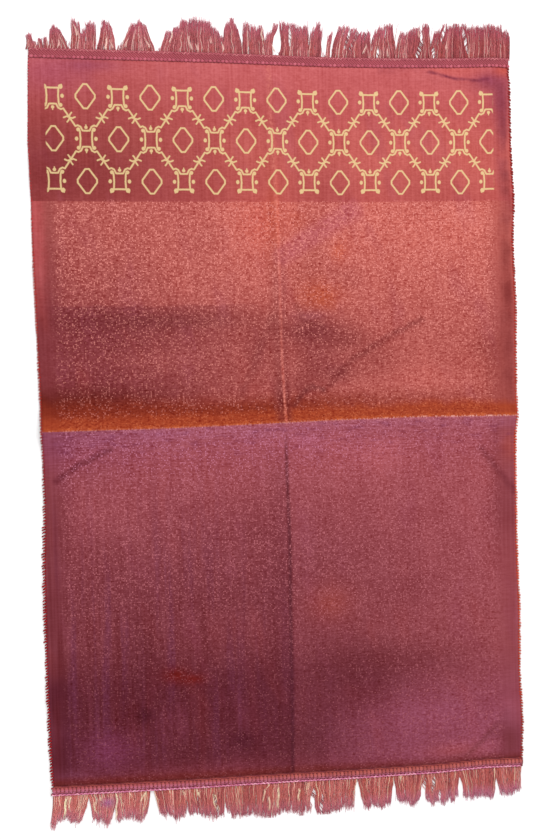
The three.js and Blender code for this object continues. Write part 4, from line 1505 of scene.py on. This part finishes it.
class RUG_OT_stage(bpy.types.Operator):
    """Set the floor, the light and the camera above the rug"""

    bl_idname = "rug.stage"
    bl_label = "Stage"

    def execute(self, context):
        stage = context.scene.rug_stage
        deselect()
        bpy.ops.mesh.primitive_plane_add(size=FLOOR_SIZE, location=(0, 0, -FLOOR_DROP))
        floor = context.object
        floor.name = "floor"
        bpy.ops.object.transform_apply(location=True, rotation=False, scale=False)
        m = Shader("pale_floor", Specular_IOR_Level=0.1)
        x, y = drawn_place(m)
        cloudy = m.noise(x / 400, y / 400, 2.0)
        tone = m.brighten(tuple(stage.floor), 1 + cloudy * 0.01)
        floor.data.materials.append(m.finished(tone, 0.9))

        world = bpy.data.worlds.new("soft_surround")
        world.use_nodes = True
        surround = world.node_tree.nodes["Background"].inputs
        surround["Color"].default_value = (1, 1, 1, 1)
        surround["Strength"].default_value = stage.sky
        context.scene.world = world

        lamp = bpy.data.lights.new("soft_lamp", "AREA")
        lamp.shape = "RECTANGLE"
        lamp.size, lamp.size_y = LAMP_SIZE
        lamp.energy = stage.lamp
        self.hang(context, lamp, LAMP_PLACE, LAMP_TURN)

        camera = bpy.data.cameras.new("camera")
        camera.sensor_width = CAMERA_SENSOR
        camera.lens = CAMERA_LENS
        camera.clip_end = 50
        context.scene.camera = self.hang(context, camera, CAMERA_PLACE, CAMERA_TURN)
        context.scene.view_settings.view_transform = "Standard"
        return {"FINISHED"}

    @staticmethod
    def hang(context, data, place, turn):
        """Puts a lamp or a camera in its place, turned about Y, then X and then Z."""
        holder = bpy.data.objects.new(data.name, data)
        turned = Euler([math.radians(angle) for angle in turn], "YXZ")
        holder.matrix_world = Matrix.LocRotScale(place, turned, None)
        context.collection.objects.link(holder)
        return holder


class RUG_PT_panel(bpy.types.Panel):
    """Shows the rug's settings and the buttons for its steps in the sidebar"""

    bl_idname = "RUG_PT_panel"
    bl_label = "Prayer rug"
    bl_space_type = "VIEW_3D"
    bl_region_type = "UI"
    bl_category = "Rug"

    def draw(self, context):
        for settings in (context.scene.rug_cloth, context.scene.rug_yarn,
                         context.scene.rug_stage):
            box = self.layout.box()
            for name in settings.__annotations__:
                box.prop(settings, name)
        for operator in OPERATORS:
            self.layout.operator(operator.bl_idname)


SETTINGS = (
    ("rug_cloth", RugClothSettings),
    ("rug_yarn", RugYarnSettings),
    ("rug_stage", RugStageSettings),
)
OPERATORS = (RUG_OT_stage, RUG_OT_velour, RUG_OT_overcast, RUG_OT_tapes, RUG_OT_stitches,
             RUG_OT_fringes)


def register():
    for name, kind in SETTINGS:
        bpy.utils.register_class(kind)
        setattr(bpy.types.Scene, name, PointerProperty(type=kind))
    for operator in OPERATORS:
        bpy.utils.register_class(operator)
    bpy.utils.register_class(RUG_PT_panel)


def unregister():
    bpy.utils.unregister_class(RUG_PT_panel)
    for operator in reversed(OPERATORS):
        bpy.utils.unregister_class(operator)
    for name, kind in reversed(SETTINGS):
        delattr(bpy.types.Scene, name)
        bpy.utils.unregister_class(kind)


def main():
    register()
    bpy.ops.rug.stage()
    bpy.ops.rug.velour()
    bpy.ops.rug.overcast()
    bpy.ops.rug.tapes()
    bpy.ops.rug.stitches()
    bpy.ops.rug.fringes()


if __name__ == "__main__":
    main()
